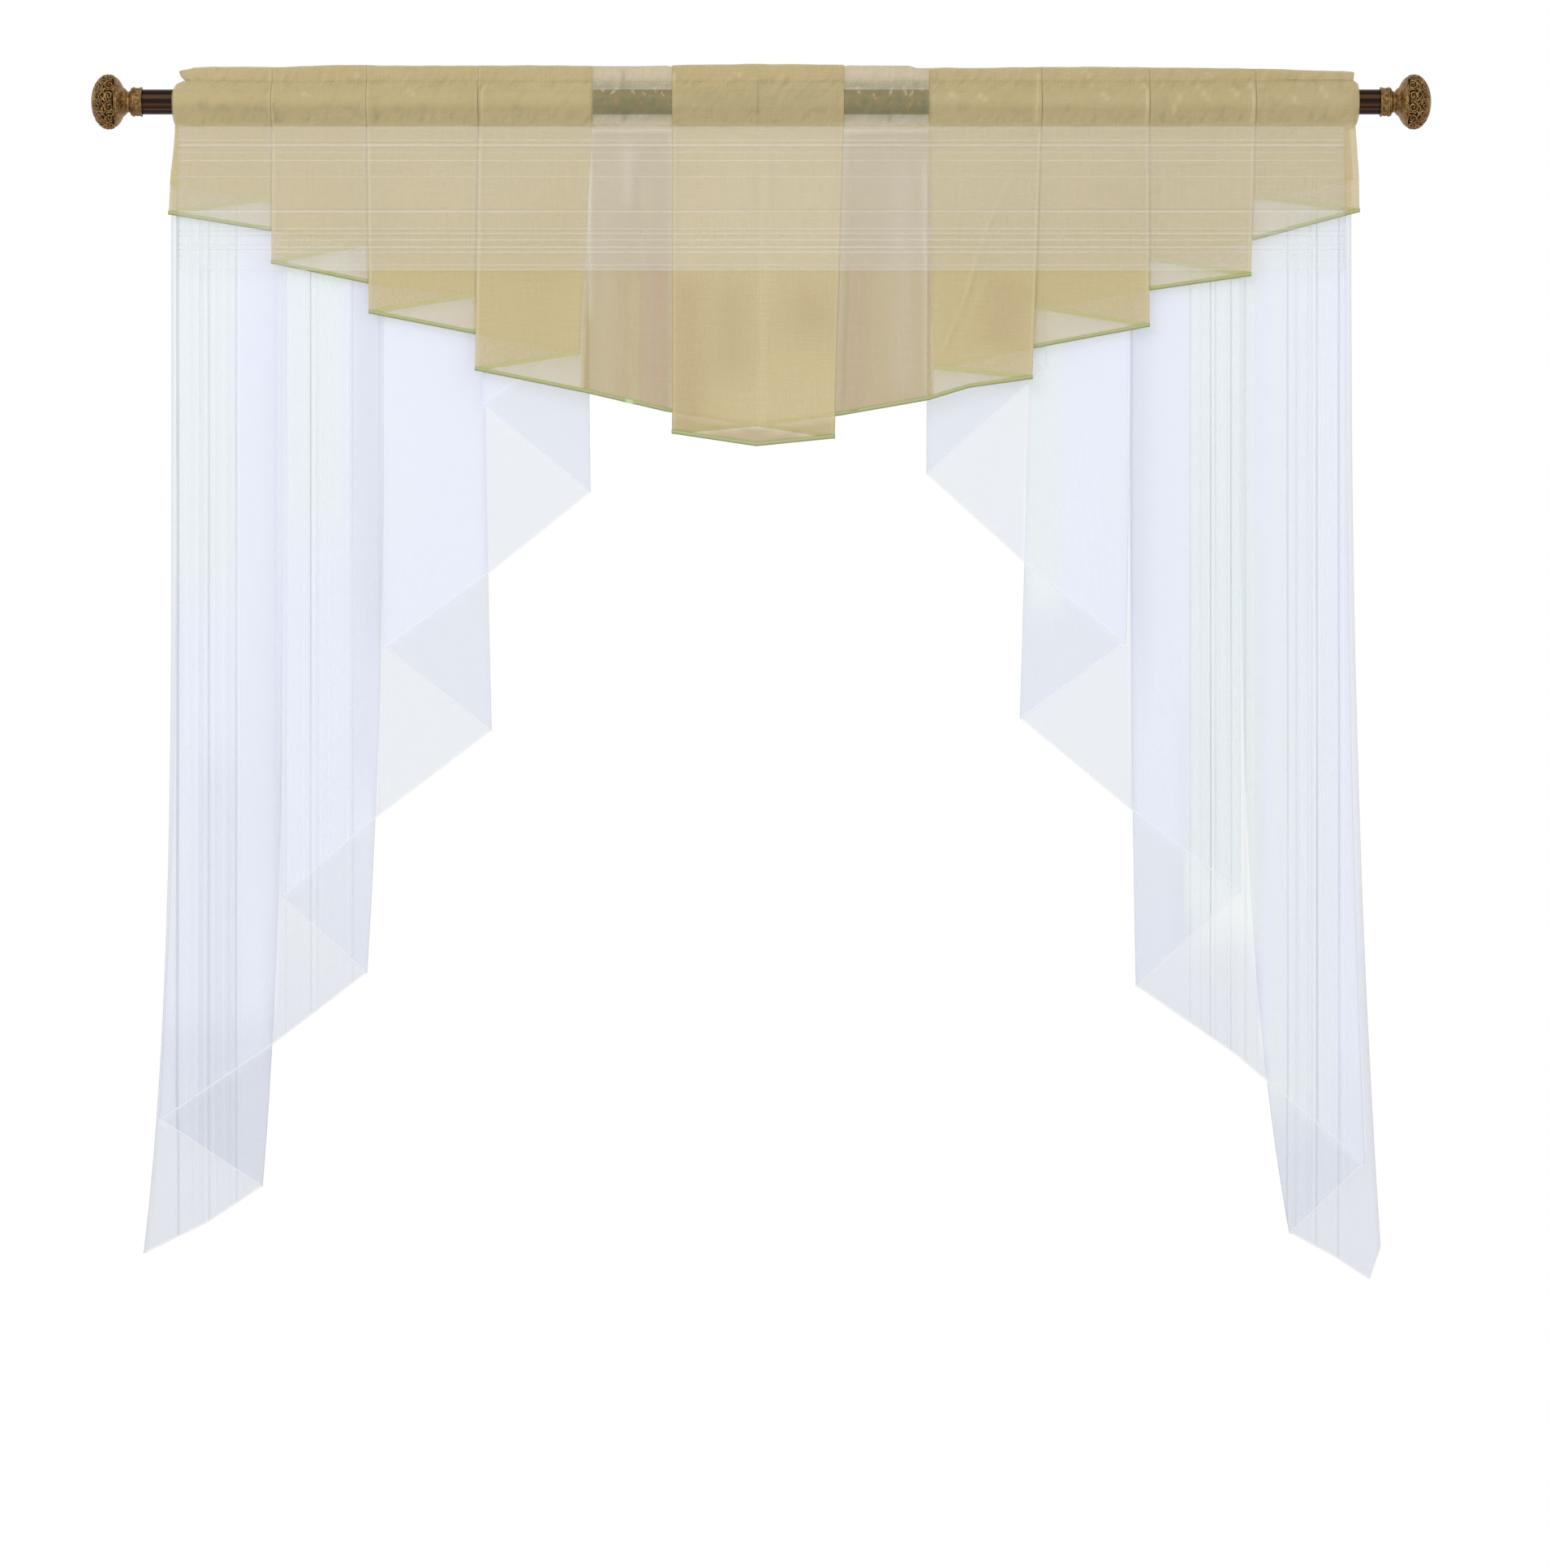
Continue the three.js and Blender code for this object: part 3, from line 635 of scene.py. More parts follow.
@dataclass
class FoldedSection:
    """The columns of points across a folded cloth, with a round nose at every fold.

    A fold is two corners in the same place, one behind the other. Its nose is drawn in, so that its
    crest lies where the corners are.
    """

    tops: Grid  # x of each corner at the seam
    hems: Grid  # x of each corner at the hem
    drops: Grid  # height of the hem at each corner
    sways: Grid  # power of each corner's drift from the seam to the hem
    seam: float  # height of the seam
    depth_at: Callable[[Grid, int], Grid]  # depth at given heights of a corner
    spacing: Callable[[int], float]  # distance between columns after each corner
    edge_steps: tuple[float, ...] = ()  # extra columns this far from the folds of a shown stretch
    shown: Callable[[int], bool] = lambda i: True
    nose_steps: int = 5

    def __post_init__(self) -> None:
        """Work out the folds, their directions and the columns."""
        count = len(self.tops)
        same = [abs(self.tops[i + 1] - self.tops[i]) < 1e-6 for i in range(count - 1)]
        self.nose = np.zeros(count)
        self.partner = np.arange(count)
        for i, folded in enumerate(same):
            if folded:
                came_from = self.tops[i - 1]
                self.nose[i] = self.nose[i + 1] = math.copysign(1.0, self.tops[i] - came_from)
                self.partner[i] = i + 1
                self.partner[i + 1] = i
        columns = []
        for i, folded in enumerate(same):
            steps = self._shares(i)
            if folded:
                steps = [step / self.nose_steps for step in range(1, self.nose_steps)]
            if not folded and i > 0 and not same[i - 1]:
                steps = steps[1:]
            columns += [(i, step, math.pi * (step - 0.5) if folded else math.nan) for step in steps]
        first, self.share, self.angle = np.array(columns).T
        self.first = first.astype(int)

    def _shares(self, i: int) -> list[float]:
        """Shares of the way along one straight stretch at which it has columns."""
        width = abs(self.tops[i + 1] - self.tops[i])
        steps = max(1, round(width / self.spacing(i)))
        shares = {step / steps for step in range(steps + 1)}
        if self.shown(i) and width > 4 * max(self.edge_steps, default=width):
            for reach in self.edge_steps:
                shares |= {reach / width, 1 - reach / width}
        return sorted(shares)

    def sample(self, x: Grid, depth: Grid) -> tuple[Grid, Grid]:
        """Lay the columns out along the corners of each row.

        Args:
            x: Corner places, rows by corners.
            depth: Corner depths, rows by corners.

        Returns:
            Column places and column depths.
        """
        radius = np.abs(depth[:, self.partner] - depth) / 2
        ends = x - self.nose * radius
        across = self.carry(ends)
        low, high = depth[:, self.first], depth[:, self.first + 1]
        arc = ~np.isnan(self.angle)
        angle = np.where(arc, self.angle, 0.0)
        nose = self.nose[self.first] * radius[:, self.first]
        round_x = x[:, self.first] + nose * (np.cos(angle) - 1.0)
        round_depth = (low + high) / 2 + (high - low) / 2 * np.sin(angle)
        return np.where(arc, round_x, across), np.where(arc, round_depth, self.carry(depth))

    def carry(self, values: Grid) -> Grid:
        """Value at each column of what the corners carry."""
        return lerp(values[:, self.first], values[:, self.first + 1], self.share)

    def stack(self, x: Grid, z: Grid, depth: Grid) -> tuple[Grid, Grid]:
        """How many layers of the cloth hang one behind the other at each place.

        Args:
            x: Places across.
            z: Heights, as many as x.
            depth: Depths of the places themselves.

        Returns:
            The number of layers, easing over a few millimetres at their edges, and how many of them
            hang in front of the place.
        """
        count, ahead = np.zeros(x.shape), np.zeros(x.shape)
        run = [
            np.clip((self.seam - z) / (self.seam - drop), 0, 1) ** sway
            for drop, sway in zip(self.drops, self.sways)
        ]
        for i in range(len(self.tops) - 1):
            if self.partner[i] == i + 1:
                continue
            start = lerp(self.tops[i], self.hems[i], run[i])
            end = lerp(self.tops[i + 1], self.hems[i + 1], run[i + 1])
            inside = np.minimum(x - np.minimum(start, end), np.maximum(start, end) - x)
            share = np.clip((x - start) / np.where(np.abs(end - start) < 1, 1, end - start), 0, 1)
            above = z - lerp(self.drops[i], self.drops[i + 1], share)
            count += smoothstep(inside, -2, 2) * smoothstep(above, -6, 0)
            other = lerp(self.depth_at(z, i), self.depth_at(z, i + 1), share)
            ahead += (inside > 0) * (above > -1) * (other > depth + 0.4)
        return count, ahead


@dataclass(frozen=True)
class Crease:
    """A soft stroke over the cloth, along a line of x, z points.

    It lifts the cloth forward, paints a highlight where light is positive and a shade where it is negative,
    and makes it warmer and thinner.
    """

    line: tuple[Pair, ...]
    width: float
    # painted highlight when positive, painted shade when negative
    light: float = 0.0
    lift: float = 0.0
    warm: float = 0.0
    thin: float = 0.0
    fade: float = 4.0

    def weight(self, x: Grid, z: Grid) -> Grid:
        """Share of the crease at each place, 1 on its line."""
        best = np.full(x.shape, np.inf)
        run = np.zeros(x.shape)
        length = 0.0
        for start, end in zip(self.line, self.line[1:]):
            step = (end[0] - start[0], end[1] - start[1])
            size = math.hypot(*step)
            along = ((x - start[0]) * step[0] + (z - start[1]) * step[1]) / size
            inside = np.clip(along, 0, size)
            off = np.hypot(x - start[0] - inside * step[0] / size, z - start[1] - inside * step[1] / size)
            run = np.where(off < best, length + inside, run)
            best = np.minimum(best, off)
            length += size
        ends = smoothstep(run, 0, self.fade) * smoothstep(length - run, 0, self.fade)
        return np.exp(-((best / self.width) ** 2)) * ends


def creases(width: float, *lines: Sequence[float], **does: float) -> tuple[Crease, ...]:
    """Creases of one kind, each line given as x, z, x, z and so on."""
    return tuple(Crease(tuple(zip(line[::2], line[1::2])), width, **does) for line in lines)


def creased(strokes: Sequence[Crease], x: Grid, z: Grid) -> dict[str, Grid]:
    """Sum of what the creases do at each place: painted light and shade (light), lift, warm and thin."""
    total = {key: np.zeros(x.shape) for key in ("light", "lift", "warm", "thin")}
    for crease in strokes:
        weight = crease.weight(x, z)
        for key, value in total.items():
            value += getattr(crease, key) * weight
    return total


def sheet_piece(
    name: str, points: Grid, attributes: dict[str, Grid], thickness: float, finish: Finish
) -> Piece:
    """Make a sheet of cloth with a thickness from rows and columns of points.

    Args:
        name: The piece's name.
        points: Rows by columns by 3, in millimetres.
        attributes: Values that the points carry, rows by columns.
        thickness: The cloth's thickness, in millimetres.
        finish: Its finish.

    Returns:
        The piece.
    """
    rows, columns, _ = points.shape
    index = np.arange(rows * columns).reshape(rows, columns)
    faces = np.stack((index[:-1, :-1], index[:-1, 1:], index[1:, 1:], index[1:, :-1]), axis=-1)
    mesh = bpy.data.meshes.new(name)
    mesh.from_pydata((points.reshape(-1, 3) * MM).tolist(), [], faces.reshape(-1, 4).tolist())

    widths = np.linalg.norm(np.diff(points[-1], axis=0), axis=1)
    across = np.concatenate(([0.0], np.cumsum(widths)))
    heights = np.linalg.norm(np.diff(points, axis=0), axis=2)
    down = np.concatenate((np.zeros((1, columns)), np.cumsum(heights[::-1], axis=0)))[::-1]
    flat = np.stack((np.broadcast_to(across, down.shape), down), axis=-1).reshape(-1, 2) * MM
    corners = np.empty(len(mesh.loops), dtype=np.int32)
    mesh.loops.foreach_get("vertex_index", corners)
    mesh.uv_layers.new(name=CLOTH_MAP).data.foreach_set("uv", flat[corners].astype(np.float32).ravel())
    for key in SHEET_VALUES:
        values = attributes.get(key, np.zeros((rows, columns)))
        layer = mesh.attributes.new(key, "FLOAT", "POINT")
        spread = np.broadcast_to(values, (rows, columns)).astype(np.float32)
        layer.data.foreach_set("value", spread.ravel())
    mesh.shade_smooth()
    mesh.materials.append(finish.material())

    piece = placed(name, mesh)
    wall = piece.modifiers.new("thickness", "SOLIDIFY")
    wall.thickness = thickness * MM
    wall.offset = 0.0
    apply_modifiers(piece)
    return piece


# ---------------- the bench


def select_only(*pieces: Piece) -> None:
    """Select these pieces and nothing else, with the first one active."""
    bpy.ops.object.select_all(action="DESELECT")
    for piece in pieces:
        piece.select_set(True)
    bpy.context.view_layer.objects.active = pieces[0]


def stand_for(piece: Piece, node: str) -> Piece:
    """Let a piece stand for a node of the model, and return it."""
    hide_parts(node)
    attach(piece, BODY)
    return piece


def apply_modifiers(piece: Piece) -> None:
    """Apply a piece's modifiers in their order."""
    select_only(piece)
    for modifier in list(piece.modifiers):
        bpy.ops.object.modifier_apply(modifier=modifier.name)


@contextmanager
def editing(piece: Piece, select: str = "DESELECT") -> Iterator[bmesh.types.BMesh]:
    """Open a piece in edit mode, with all of it selected or deselected, and close it again."""
    select_only(piece)
    bpy.ops.object.mode_set(mode="EDIT")
    bpy.ops.mesh.select_mode(type="VERT")
    bpy.ops.mesh.select_all(action=select)
    yield bmesh.from_edit_mesh(piece.data)
    bpy.ops.object.mode_set(mode="OBJECT")


def pick(piece: Piece, mesh: bmesh.types.BMesh, wanted: Callable[[Vector], bool]) -> None:
    """Select the points of a piece in edit mode whose places are wanted."""
    for vert in mesh.verts:
        vert.select_set(wanted(vert.co))
    mesh.select_flush_mode()
    mesh.select_flush(True)
    bmesh.update_edit_mesh(piece.data)


def added(name: str) -> Piece:
    """Name the primitive that was just added, and return it."""
    piece = bpy.context.active_object
    piece.name = name
    piece.data.name = name
    return piece


def placed(name: str, data: bpy.types.ID) -> Piece:
    """Put a mesh, a curve, a lamp or a camera in the scene."""
    piece = bpy.data.objects.new(name, data)
    bpy.context.collection.objects.link(piece)
    return piece


def settle(piece: Piece) -> None:
    """Move a piece's place, turn and size into its mesh."""
    select_only(piece)
    bpy.ops.object.transform_apply(location=True, rotation=True, scale=True)


def smooth(piece: Piece) -> None:
    """Shade a turned piece smooth, apart from its sharp edges."""
    select_only(piece)
    bpy.ops.object.shade_smooth_by_angle(angle=SMOOTH_ANGLE)


def ball(name: str, sides: tuple[int, int], radius: float, size: Triple) -> Piece:
    """Add a ball of some segments and rings, its radius in millimetres, stretched along x, y, z."""
    segments, rings = sides
    bpy.ops.mesh.primitive_uv_sphere_add(segments=segments, ring_count=rings, radius=radius * MM)
    piece = added(name)
    with editing(piece, "SELECT"):
        bpy.ops.transform.resize(value=size)
    return piece


def join(name: str, pieces: Sequence[Piece]) -> Piece:
    """Join pieces into one, with its place in its mesh and the piece at the origin."""
    select_only(*pieces)
    bpy.ops.object.join()
    settle(pieces[0])
    return added(name)


def twin(piece: Piece, name: str, change: Matrix) -> Piece:
    """Copy a piece with a mesh of its own, moved by a matrix."""
    copy = placed(name, piece.data.copy())
    copy.data.transform(change)
    if change.determinant() < 0:
        copy.data.flip_normals()
    return copy


def set_raised(piece: Piece, value: float) -> None:
    """Say how far a piece of castwork stands out of its hollows, for its finish."""
    layer = piece.data.attributes.get("raised") or piece.data.attributes.new("raised", "FLOAT", "POINT")
    layer.data.foreach_set("value", [value] * len(piece.data.vertices))


def turned(
    name: str, profile: Sequence[Pair], sides: int, raised: float, closed: bool = False
) -> Piece:
    """Turn a profile about the rod's axis, by extruding a ring from one station to the next.

    Args:
        name: The piece's name.
        profile: Distance along the rod and radius at each station.
        sides: Points of the ring.
        raised: How far the piece stands out of the hollows of its castwork.
        closed: Whether the last ring joins the first one. If not, both ends are filled.

    Returns:
        The piece.
    """
    start, radius = profile[0]
    bpy.ops.mesh.primitive_circle_add(
        vertices=sides, radius=radius * MM, location=(start * MM, 0, 0), rotation=(0, math.pi / 2, 0)
    )
    piece = added(name)
    settle(piece)
    with editing(piece, "SELECT"):
        if not closed:
            bpy.ops.mesh.edge_face_add()
        stations = [*profile[1:], profile[0]] if closed else profile[1:]
        for along, wide in stations:
            bpy.ops.mesh.extrude_region_move(
                TRANSFORM_OT_translate={"value": ((along - start) * MM, 0, 0)}
            )
            ratio = wide / radius
            bpy.ops.transform.resize(value=(1, ratio, ratio), center_override=(along * MM, 0, 0))
            start, radius = along, wide
        bpy.ops.mesh.select_all(action="SELECT")
        bpy.ops.mesh.remove_doubles(threshold=1e-6)
        bpy.ops.mesh.normals_make_consistent(inside=False)
    smooth(piece)
    set_raised(piece, raised)
    return piece


# ---------------- the valance


@dataclass(frozen=True)
class KnifePleat:
    """A pleat: x of its front fold at the heading and the hem, and the hem's height at its
    hidden fold, at its front fold and where the next pleat begins to cover it."""

    top: float
    hem: float
    hidden: float
    front: float
    cover: float


# Folds and wrinkles of the valance.
VALANCE_CREASES = (
    # Kinks in the pleat folds at the pocket painted as shade, and painted light beside them.
    *creases(
        1.9,
        (-624, -2, -620, -29), (-494, 8, -495, -3, -490, -33), (-355, 29, -361, 12, -361, -33),
        (-116.5, 20, -116.5, -29),
        light=-0.6,
    ),
    *creases(
        1.8,
        (-490, 6, -489, -28), (-351.5, 28, -357.5, 12, -357.5, -33),
        (487, 36, 487.5, 25, 493, 15, 493.5, -8, 491.5, -33), (624, 25, 629, 14, 629.5, -8, 627.5, -33),
        (354.5, 38, 354, 10, 353, -10, 354, -33), (-112, 38, -112, 16),
        light=0.5,
    ),
    # Wrinkles over the rod, where it shows through the single layers: ridges with painted highlights,
    # troughs with painted shade, and painted light below.
    *creases(
        2.0,
        (-206, 10, -199, 17), (-182, 19, -194, 6), (-167, 17, -161, 6), (-187, 4, -184, -7),
        (-153, 13, -146, 4), (-139, 18, -132, 9), (-198, 2, -203, -8), (-158, 2, -152, -8),
        (-128, 14, -124, 2), (120, 20, 128, 6), (141, 12, 151, -5), (170, 19, 163, 5), (181, 21, 187, 3),
        (195, 14, 189, 2), (200, 19, 209, 11), (195, 3, 186, -13), (168, 0, 160, -13), (122, 0, 130, -10),
        (201, 2, 204, -10),
        light=0.95, lift=1.6,
    ),
    *creases(
        2.6,
        (-180, 8, -171, -10), (-177, 42, -176, 8), (-174, -8, -175, -29), (-151, 8, -145, -6),
        (-137, 6, -139, -9), (-207, 4, -201, -4), (-163, 6, -166, -8), (164, 6, 164, -30),
        (134, 6, 130, -8), (176, 12, 174, -4), (208, 12, 208, -17), (155, 14, 148, 4), (193, 26, 206, 16),
        light=-0.5, lift=-1,
    ),
    *creases(2.4, (-206, -20, -192, -15), (-160, -22, -146, -15), (122, -24, 140, -19), light=0.35),
    # Puckers in the pocket and the ruffle: troughs with painted shade, ridges with painted highlights.
    *creases(
        4.5,
        (-722, -2, -704, -14), (-694, -4, -676, -17), (-668, -2, -652, -15), (-648, -6, -634, -17),
        (-560, -4, -548, -16), (-532, -6, -520, -15), (-470, -6, -455, -16), (-438, -4, -428, -15),
        (-318, -6, -306, -15), (252, -4, 262, -15), (318, -8, 326, -18), (384, -4, 396, -16),
        (512, 8, 520, -8), (585, -6, 596, -16), (648, 6, 658, -8),
        light=-0.32, lift=-1,
    ),
    *creases(
        3.0,
        (-514, 40, -520, 28), (414, 41, 421, 28), (571, 40, 577, 28), (540, 15, 524, -22),
        (556, 20, 577, -4), (716, 22, 723, 0), (-586, 12, -578, 2), (-452, 16, -444, 4),
        (240, 12, 250, 0), (276, 8, 290, -2), (436, 12, 444, -2), (600, 18, 612, 2), (676, 10, 688, -8),
        (-30, 40, -30, 26),
        light=0.4, lift=1.2,
    ),
    # The rod shows a little through the box pleat, above its lower edge, as a band of painted shade.
    Crease(((-112, 5), (104, 4)), 13, light=-0.3, fade=6),
    # The diagonal crease on the right: painted shade in its trough, a painted highlight on its ridge, and a
    # warmer stretch.
    *creases(6, (342, -76, 308, -141, 287, -202, 274, -249, 238, -332), light=-0.5, lift=-2, fade=20),
    *creases(3.2, (326, -88, 294, -148, 274, -204, 262, -249, 229, -328), light=0.3, lift=2, fade=20),
    Crease(((326, -214), (296, -330)), 34, warm=0.32, fade=30),
    # Soft folds in the single layers beside the box pleat, with painted highlights and shade along them.
    Crease(((-222, -70), (-222, -285)), 5.5, light=0.25, thin=0.7, fade=26),
    Crease(((-225, -280), (-229, -370)), 2.4, light=0.3),
    Crease(((-171, -36), (-171, -150)), 10, thin=0.5, lift=3, fade=30),
    Crease(((-152, -90), (-154, -220)), 8, light=-0.2, lift=-3, fade=20),
    Crease(((-166, -215), (-168, -395)), 9, light=-0.3, lift=-4, fade=14),
    Crease(((-138, -190), (-139, -395)), 17, warm=0.75, lift=2, fade=20),
    Crease(((-198, -60), (-200, -395)), 12, thin=0.2, fade=30),
    Crease(((111, -45), (99, -405)), 5, light=-0.45, lift=-2, fade=12),
    Crease(((126, -205), (118, -400)), 12, warm=0.6, lift=3, fade=14),
    Crease(((180, -60), (182, -390)), 18, thin=0.35, warm=0.15, lift=3, fade=40),
    Crease(((209, -70), (213, -380)), 5, thin=0.6, fade=10),
    Crease(((217, -280), (219, -380)), 2.4, light=0.3, fade=10),
    Crease(((164, -30), (164, -74)), 3.0, light=-0.4, lift=-1, fade=10),
    # Warm stretches of the box pleat, with painted shade, a painted highlight and a thinner stretch.
    Crease(((-38, -190), (-36, -390)), 30, warm=0.16, light=-0.16, fade=70),
    Crease(((-94, -200), (-92, -430)), 24, warm=0.42, fade=40),
    Crease(((64, -190), (58, -340)), 40, warm=0.3, light=-0.08, fade=70),
    Crease(((2, -45), (2, -430)), 7, light=0.22, lift=1.5, fade=20),
    Crease(((50, -330), (46, -430)), 36, thin=0.35, fade=40),
)


class Bend(Enum):
    """Corners of the box pleat and the single layers beside it."""

    BEND = "bend"
    HIDDEN = "hidden"
    FRONT = "front"
    APEX = "apex"


@dataclass(frozen=True)
class MiddleRow:
    """A corner in the middle of the valance. Level 0 is the back layer and 2 the front one."""

    kind: Bend
    top: float
    hem: float
    drop: float
    level: float = 0.0


@dataclass(frozen=True)
class PleatCorner:
    """A corner of the valance's section, with its layer and its slant out at the hem. A corner
    without a slant lies between its neighbours."""

    top: float
    hem: float
    drop: float
    level: float
    slant: float = math.nan


@dataclass
class Valance:
    """One gold cloth: ruffled heading, rod pocket, knife pleats and the box pleat."""

    thickness: float = 0.5
    lower_stitch: float = -30.0
    header_stitch: float = 26.0
    turning: float = 4.7
    half_gap: float = 0.8  # from the rod's plane to the cloth at the stitch lines
    pocket_radius: float = 17.0
    level: float = 1.7  # between layers, where they are stitched
    depth: float = 16.0  # a pleat's slant out at the lowest point of the hem
    fold: float = 3.6
    edge_slant: float = 4.0
    step_run: float = 1.5
    ease: float = 140.0
    binding: float = 1.2  # the cloth's raw edge inside the binding, above the binding's fold
    fine: float = 6.0
    coarse: float = 20.0
    narrow: float = 2.7
    skirt_rows: int = 35
    edge_steps: tuple[float, ...] = (2.4, 4.8)
    # a painted highlight just inside each front fold: its inset, strength and width
    edge_inset: float = 2.6
    edge_highlight: float = 0.4
    edge_width: float = 1.7
    # painted light in the shaded grooves beside the folds; half as much on the right half
    groove_painted_light: float = 0.55  # lightens the grooves beside the folds, on the right half as much
    groove_width: float = 2.2
    pucker_reach: float = 16.0  # how far below the stitches their puckers reach
    drift: Ripple = Ripple(3.2, 95, 240, 1.5)  # of the whole skirt
    pucker: Ripple = Ripple(1.3, 8, 40, 4.5)  # at the lower stitches
    gathers: Ripple = Ripple(2.2, 9, 26, 2.5)  # of the pocket, slanting one way
    cross_gathers: Ripple = Ripple(1.6, 13, 30, 6.5)  # and the other way
    wave: Ripple = Ripple(2.6, 30, 60, 9.5)  # of the ruffle
    ruffle: Ripple = Ripple(1.0, 8, 18, 3.5)
    ragged: Ripple = Ripple(0.5, 26, 1, 8.5)  # of the ruffle's top edge
    usual_crown: float = 42.0
    left: Pair = (-759, -106)  # x of the side edge, and height of the hem there
    right: Pair = (758, -100)
    left_pleats: tuple[KnifePleat, ...] = (
        KnifePleat(-757, -759, hidden=-126, front=-145, cover=-166),
        KnifePleat(-627, -627, hidden=-185, front=-208, cover=-233),
        KnifePleat(-505, -502, hidden=-250, front=-272, cover=-298),
        KnifePleat(-362, -366, hidden=-324, front=-345, cover=-371),
    )
    right_pleats: tuple[KnifePleat, ...] = (
        KnifePleat(765, 766, hidden=-124, front=-142, cover=-178),
        KnifePleat(633, 627, hidden=-204, front=-224, cover=-242),
        KnifePleat(497, 497, hidden=-265, front=-289, cover=-316),
        KnifePleat(359, 347, hidden=-343, front=-356, cover=-366),
    )
    left_inner: Pair = (-216, -232)
    right_inner: Pair = (215, 221)
    middle: tuple[MiddleRow, ...] = (
        MiddleRow(Bend.BEND, -208, -222, -374, level=2),
        MiddleRow(Bend.BEND, -122, -122, -397),
        MiddleRow(Bend.HIDDEN, -4.4, -6.4, -416),
        MiddleRow(Bend.FRONT, -114, -114, -426),
        MiddleRow(Bend.APEX, -4, -6, -442, level=2),
        MiddleRow(Bend.FRONT, 106, 94, -432),
        MiddleRow(Bend.HIDDEN, -3.6, -5.6, -416),
        MiddleRow(Bend.BEND, 114, 102, -402),
        MiddleRow(Bend.BEND, 207, 213, -383, level=2),
        MiddleRow(Bend.BEND, 274, 266, -367, level=2),
    )
    crown: tuple[Pair, ...] = (
        (-760, 40), (-745, 42.5), (-738, 44.5), (-700, 45.5), (-620, 44.8), (-580, 45.8), (-539, 47.8),
        (-497, 46.8), (-247, 46.8), (-165, 45.8), (-123, 46.8), (-81, 47.8), (2, 48.9), (85, 47.8),
        (127, 46.8), (189, 46.3), (199, 43.7), (252, 43.7), (418, 45.2), (584, 43.5), (668, 42),
        (709, 40.3), (755, 39.5), (766, 38),
    )
    # How far the side edges draw in, by height.
    tuck_heights: tuple[float, ...] = (-442, -150, -95, -60, -30, -20, 12, 20, 26, 31, 38)
    tuck_left: tuple[float, ...] = (0, 0, 2, 6, 8, 5, 5, 9, 23, 16, 13)
    tuck_right: tuple[float, ...] = (0, 0, 0, 2, 4, 0, 0, 1, 7, 6, 5)
    # Painted shade on the single layers where the rod lies behind them, by height.
    rod_shade: tuple[Pair, ...] = (
        (-29, -0.05), (-25, -0.25), (-21, -0.5), (-17, -0.75), (-14, -0.7), (-8, -0.68), (0, -0.6),
        (8, -0.35), (15, -0.1), (17, -0.9), (21, -0.7), (25, -0.42), (29, -0.22), (33, 0),
    )
    creases: tuple[Crease, ...] = VALANCE_CREASES
    section: FoldedSection = field(init=False)

    def __post_init__(self) -> None:
        """Lay out the corners of the folded cloth and its columns."""
        left = self._side(self.left, self.left_pleats, self.left_inner)
        right = self._side(self.right, self.right_pleats, self.right_inner)
        corners = [*left, *self._box(), *reversed(right)]
        tops, hems, drops, self.levels, slants = np.array([astuple(corner) for corner in corners]).T
        self.slants = fill_between(slants, hems)
        self.creases = (*self.creases, *self._painted_fold_lights())
        self.lowest = min(drops)
        straight = np.ones(len(drops))
        self.section = FoldedSection(
            tops, hems, drops, straight, self.lower_stitch, self.depth_at,
            spacing=lambda i: self._spacing(i, tops[i]),
            edge_steps=self.edge_steps,
            shown=lambda i: self.levels[i] >= 2 and self.levels[i + 1] >= 2,
        )
        narrow = np.abs(tops[self.section.first] - tops[self.section.first + 1]) < 3
        self.groove = narrow | ~np.isnan(self.section.angle)

    def _spacing(self, i: int, top: float) -> float:
        """Distance between the columns after a corner: fine where the cloth shows."""
        levels = (self.levels[i], self.levels[i + 1])
        if min(levels) >= 2:
            return self.fine
        single = levels in ((0, 2), (2, 0)) and abs(top) < abs(self.middle[-1].top)
        return self.narrow if single else self.coarse

    def _painted_fold_lights(self) -> tuple[Crease, ...]:
        """A painted highlight just inside each front fold, and painted light in the shaded grooves beside
        the folds.
        """
        pleats = [*self.left_pleats[1:], *self.right_pleats[1:]]
        lines = [(pleat.top, pleat.hem, pleat.front) for pleat in pleats]
        lines += [(row.top, row.hem, row.drop) for row in self.middle if row.kind is Bend.FRONT]
        lights = []
        for top, hem, drop in lines:
            inset = -math.copysign(self.edge_inset, top)
            line = ((top + inset, -34), (hem + inset, drop))
            lights.append(Crease(line, self.edge_width, self.edge_highlight))
        for pleat in pleats:
            beside = math.copysign(self.step_run / 2, pleat.top)
            route = ((pleat.top + beside, 50), (pleat.top + beside, -30), (pleat.hem + beside, pleat.front))
            share = 1.0 if pleat.top < 0 else 0.5
            lights.append(Crease(route, self.groove_width, self.groove_painted_light * share))
        return tuple(lights)

    def front_fold_x(self, pleat: KnifePleat, z: float) -> float:
        """Where a pleat's front fold lies at a height."""
        share = (self.lower_stitch - z) / (self.lower_stitch - pleat.front)
        return lerp(pleat.top, pleat.hem, share)

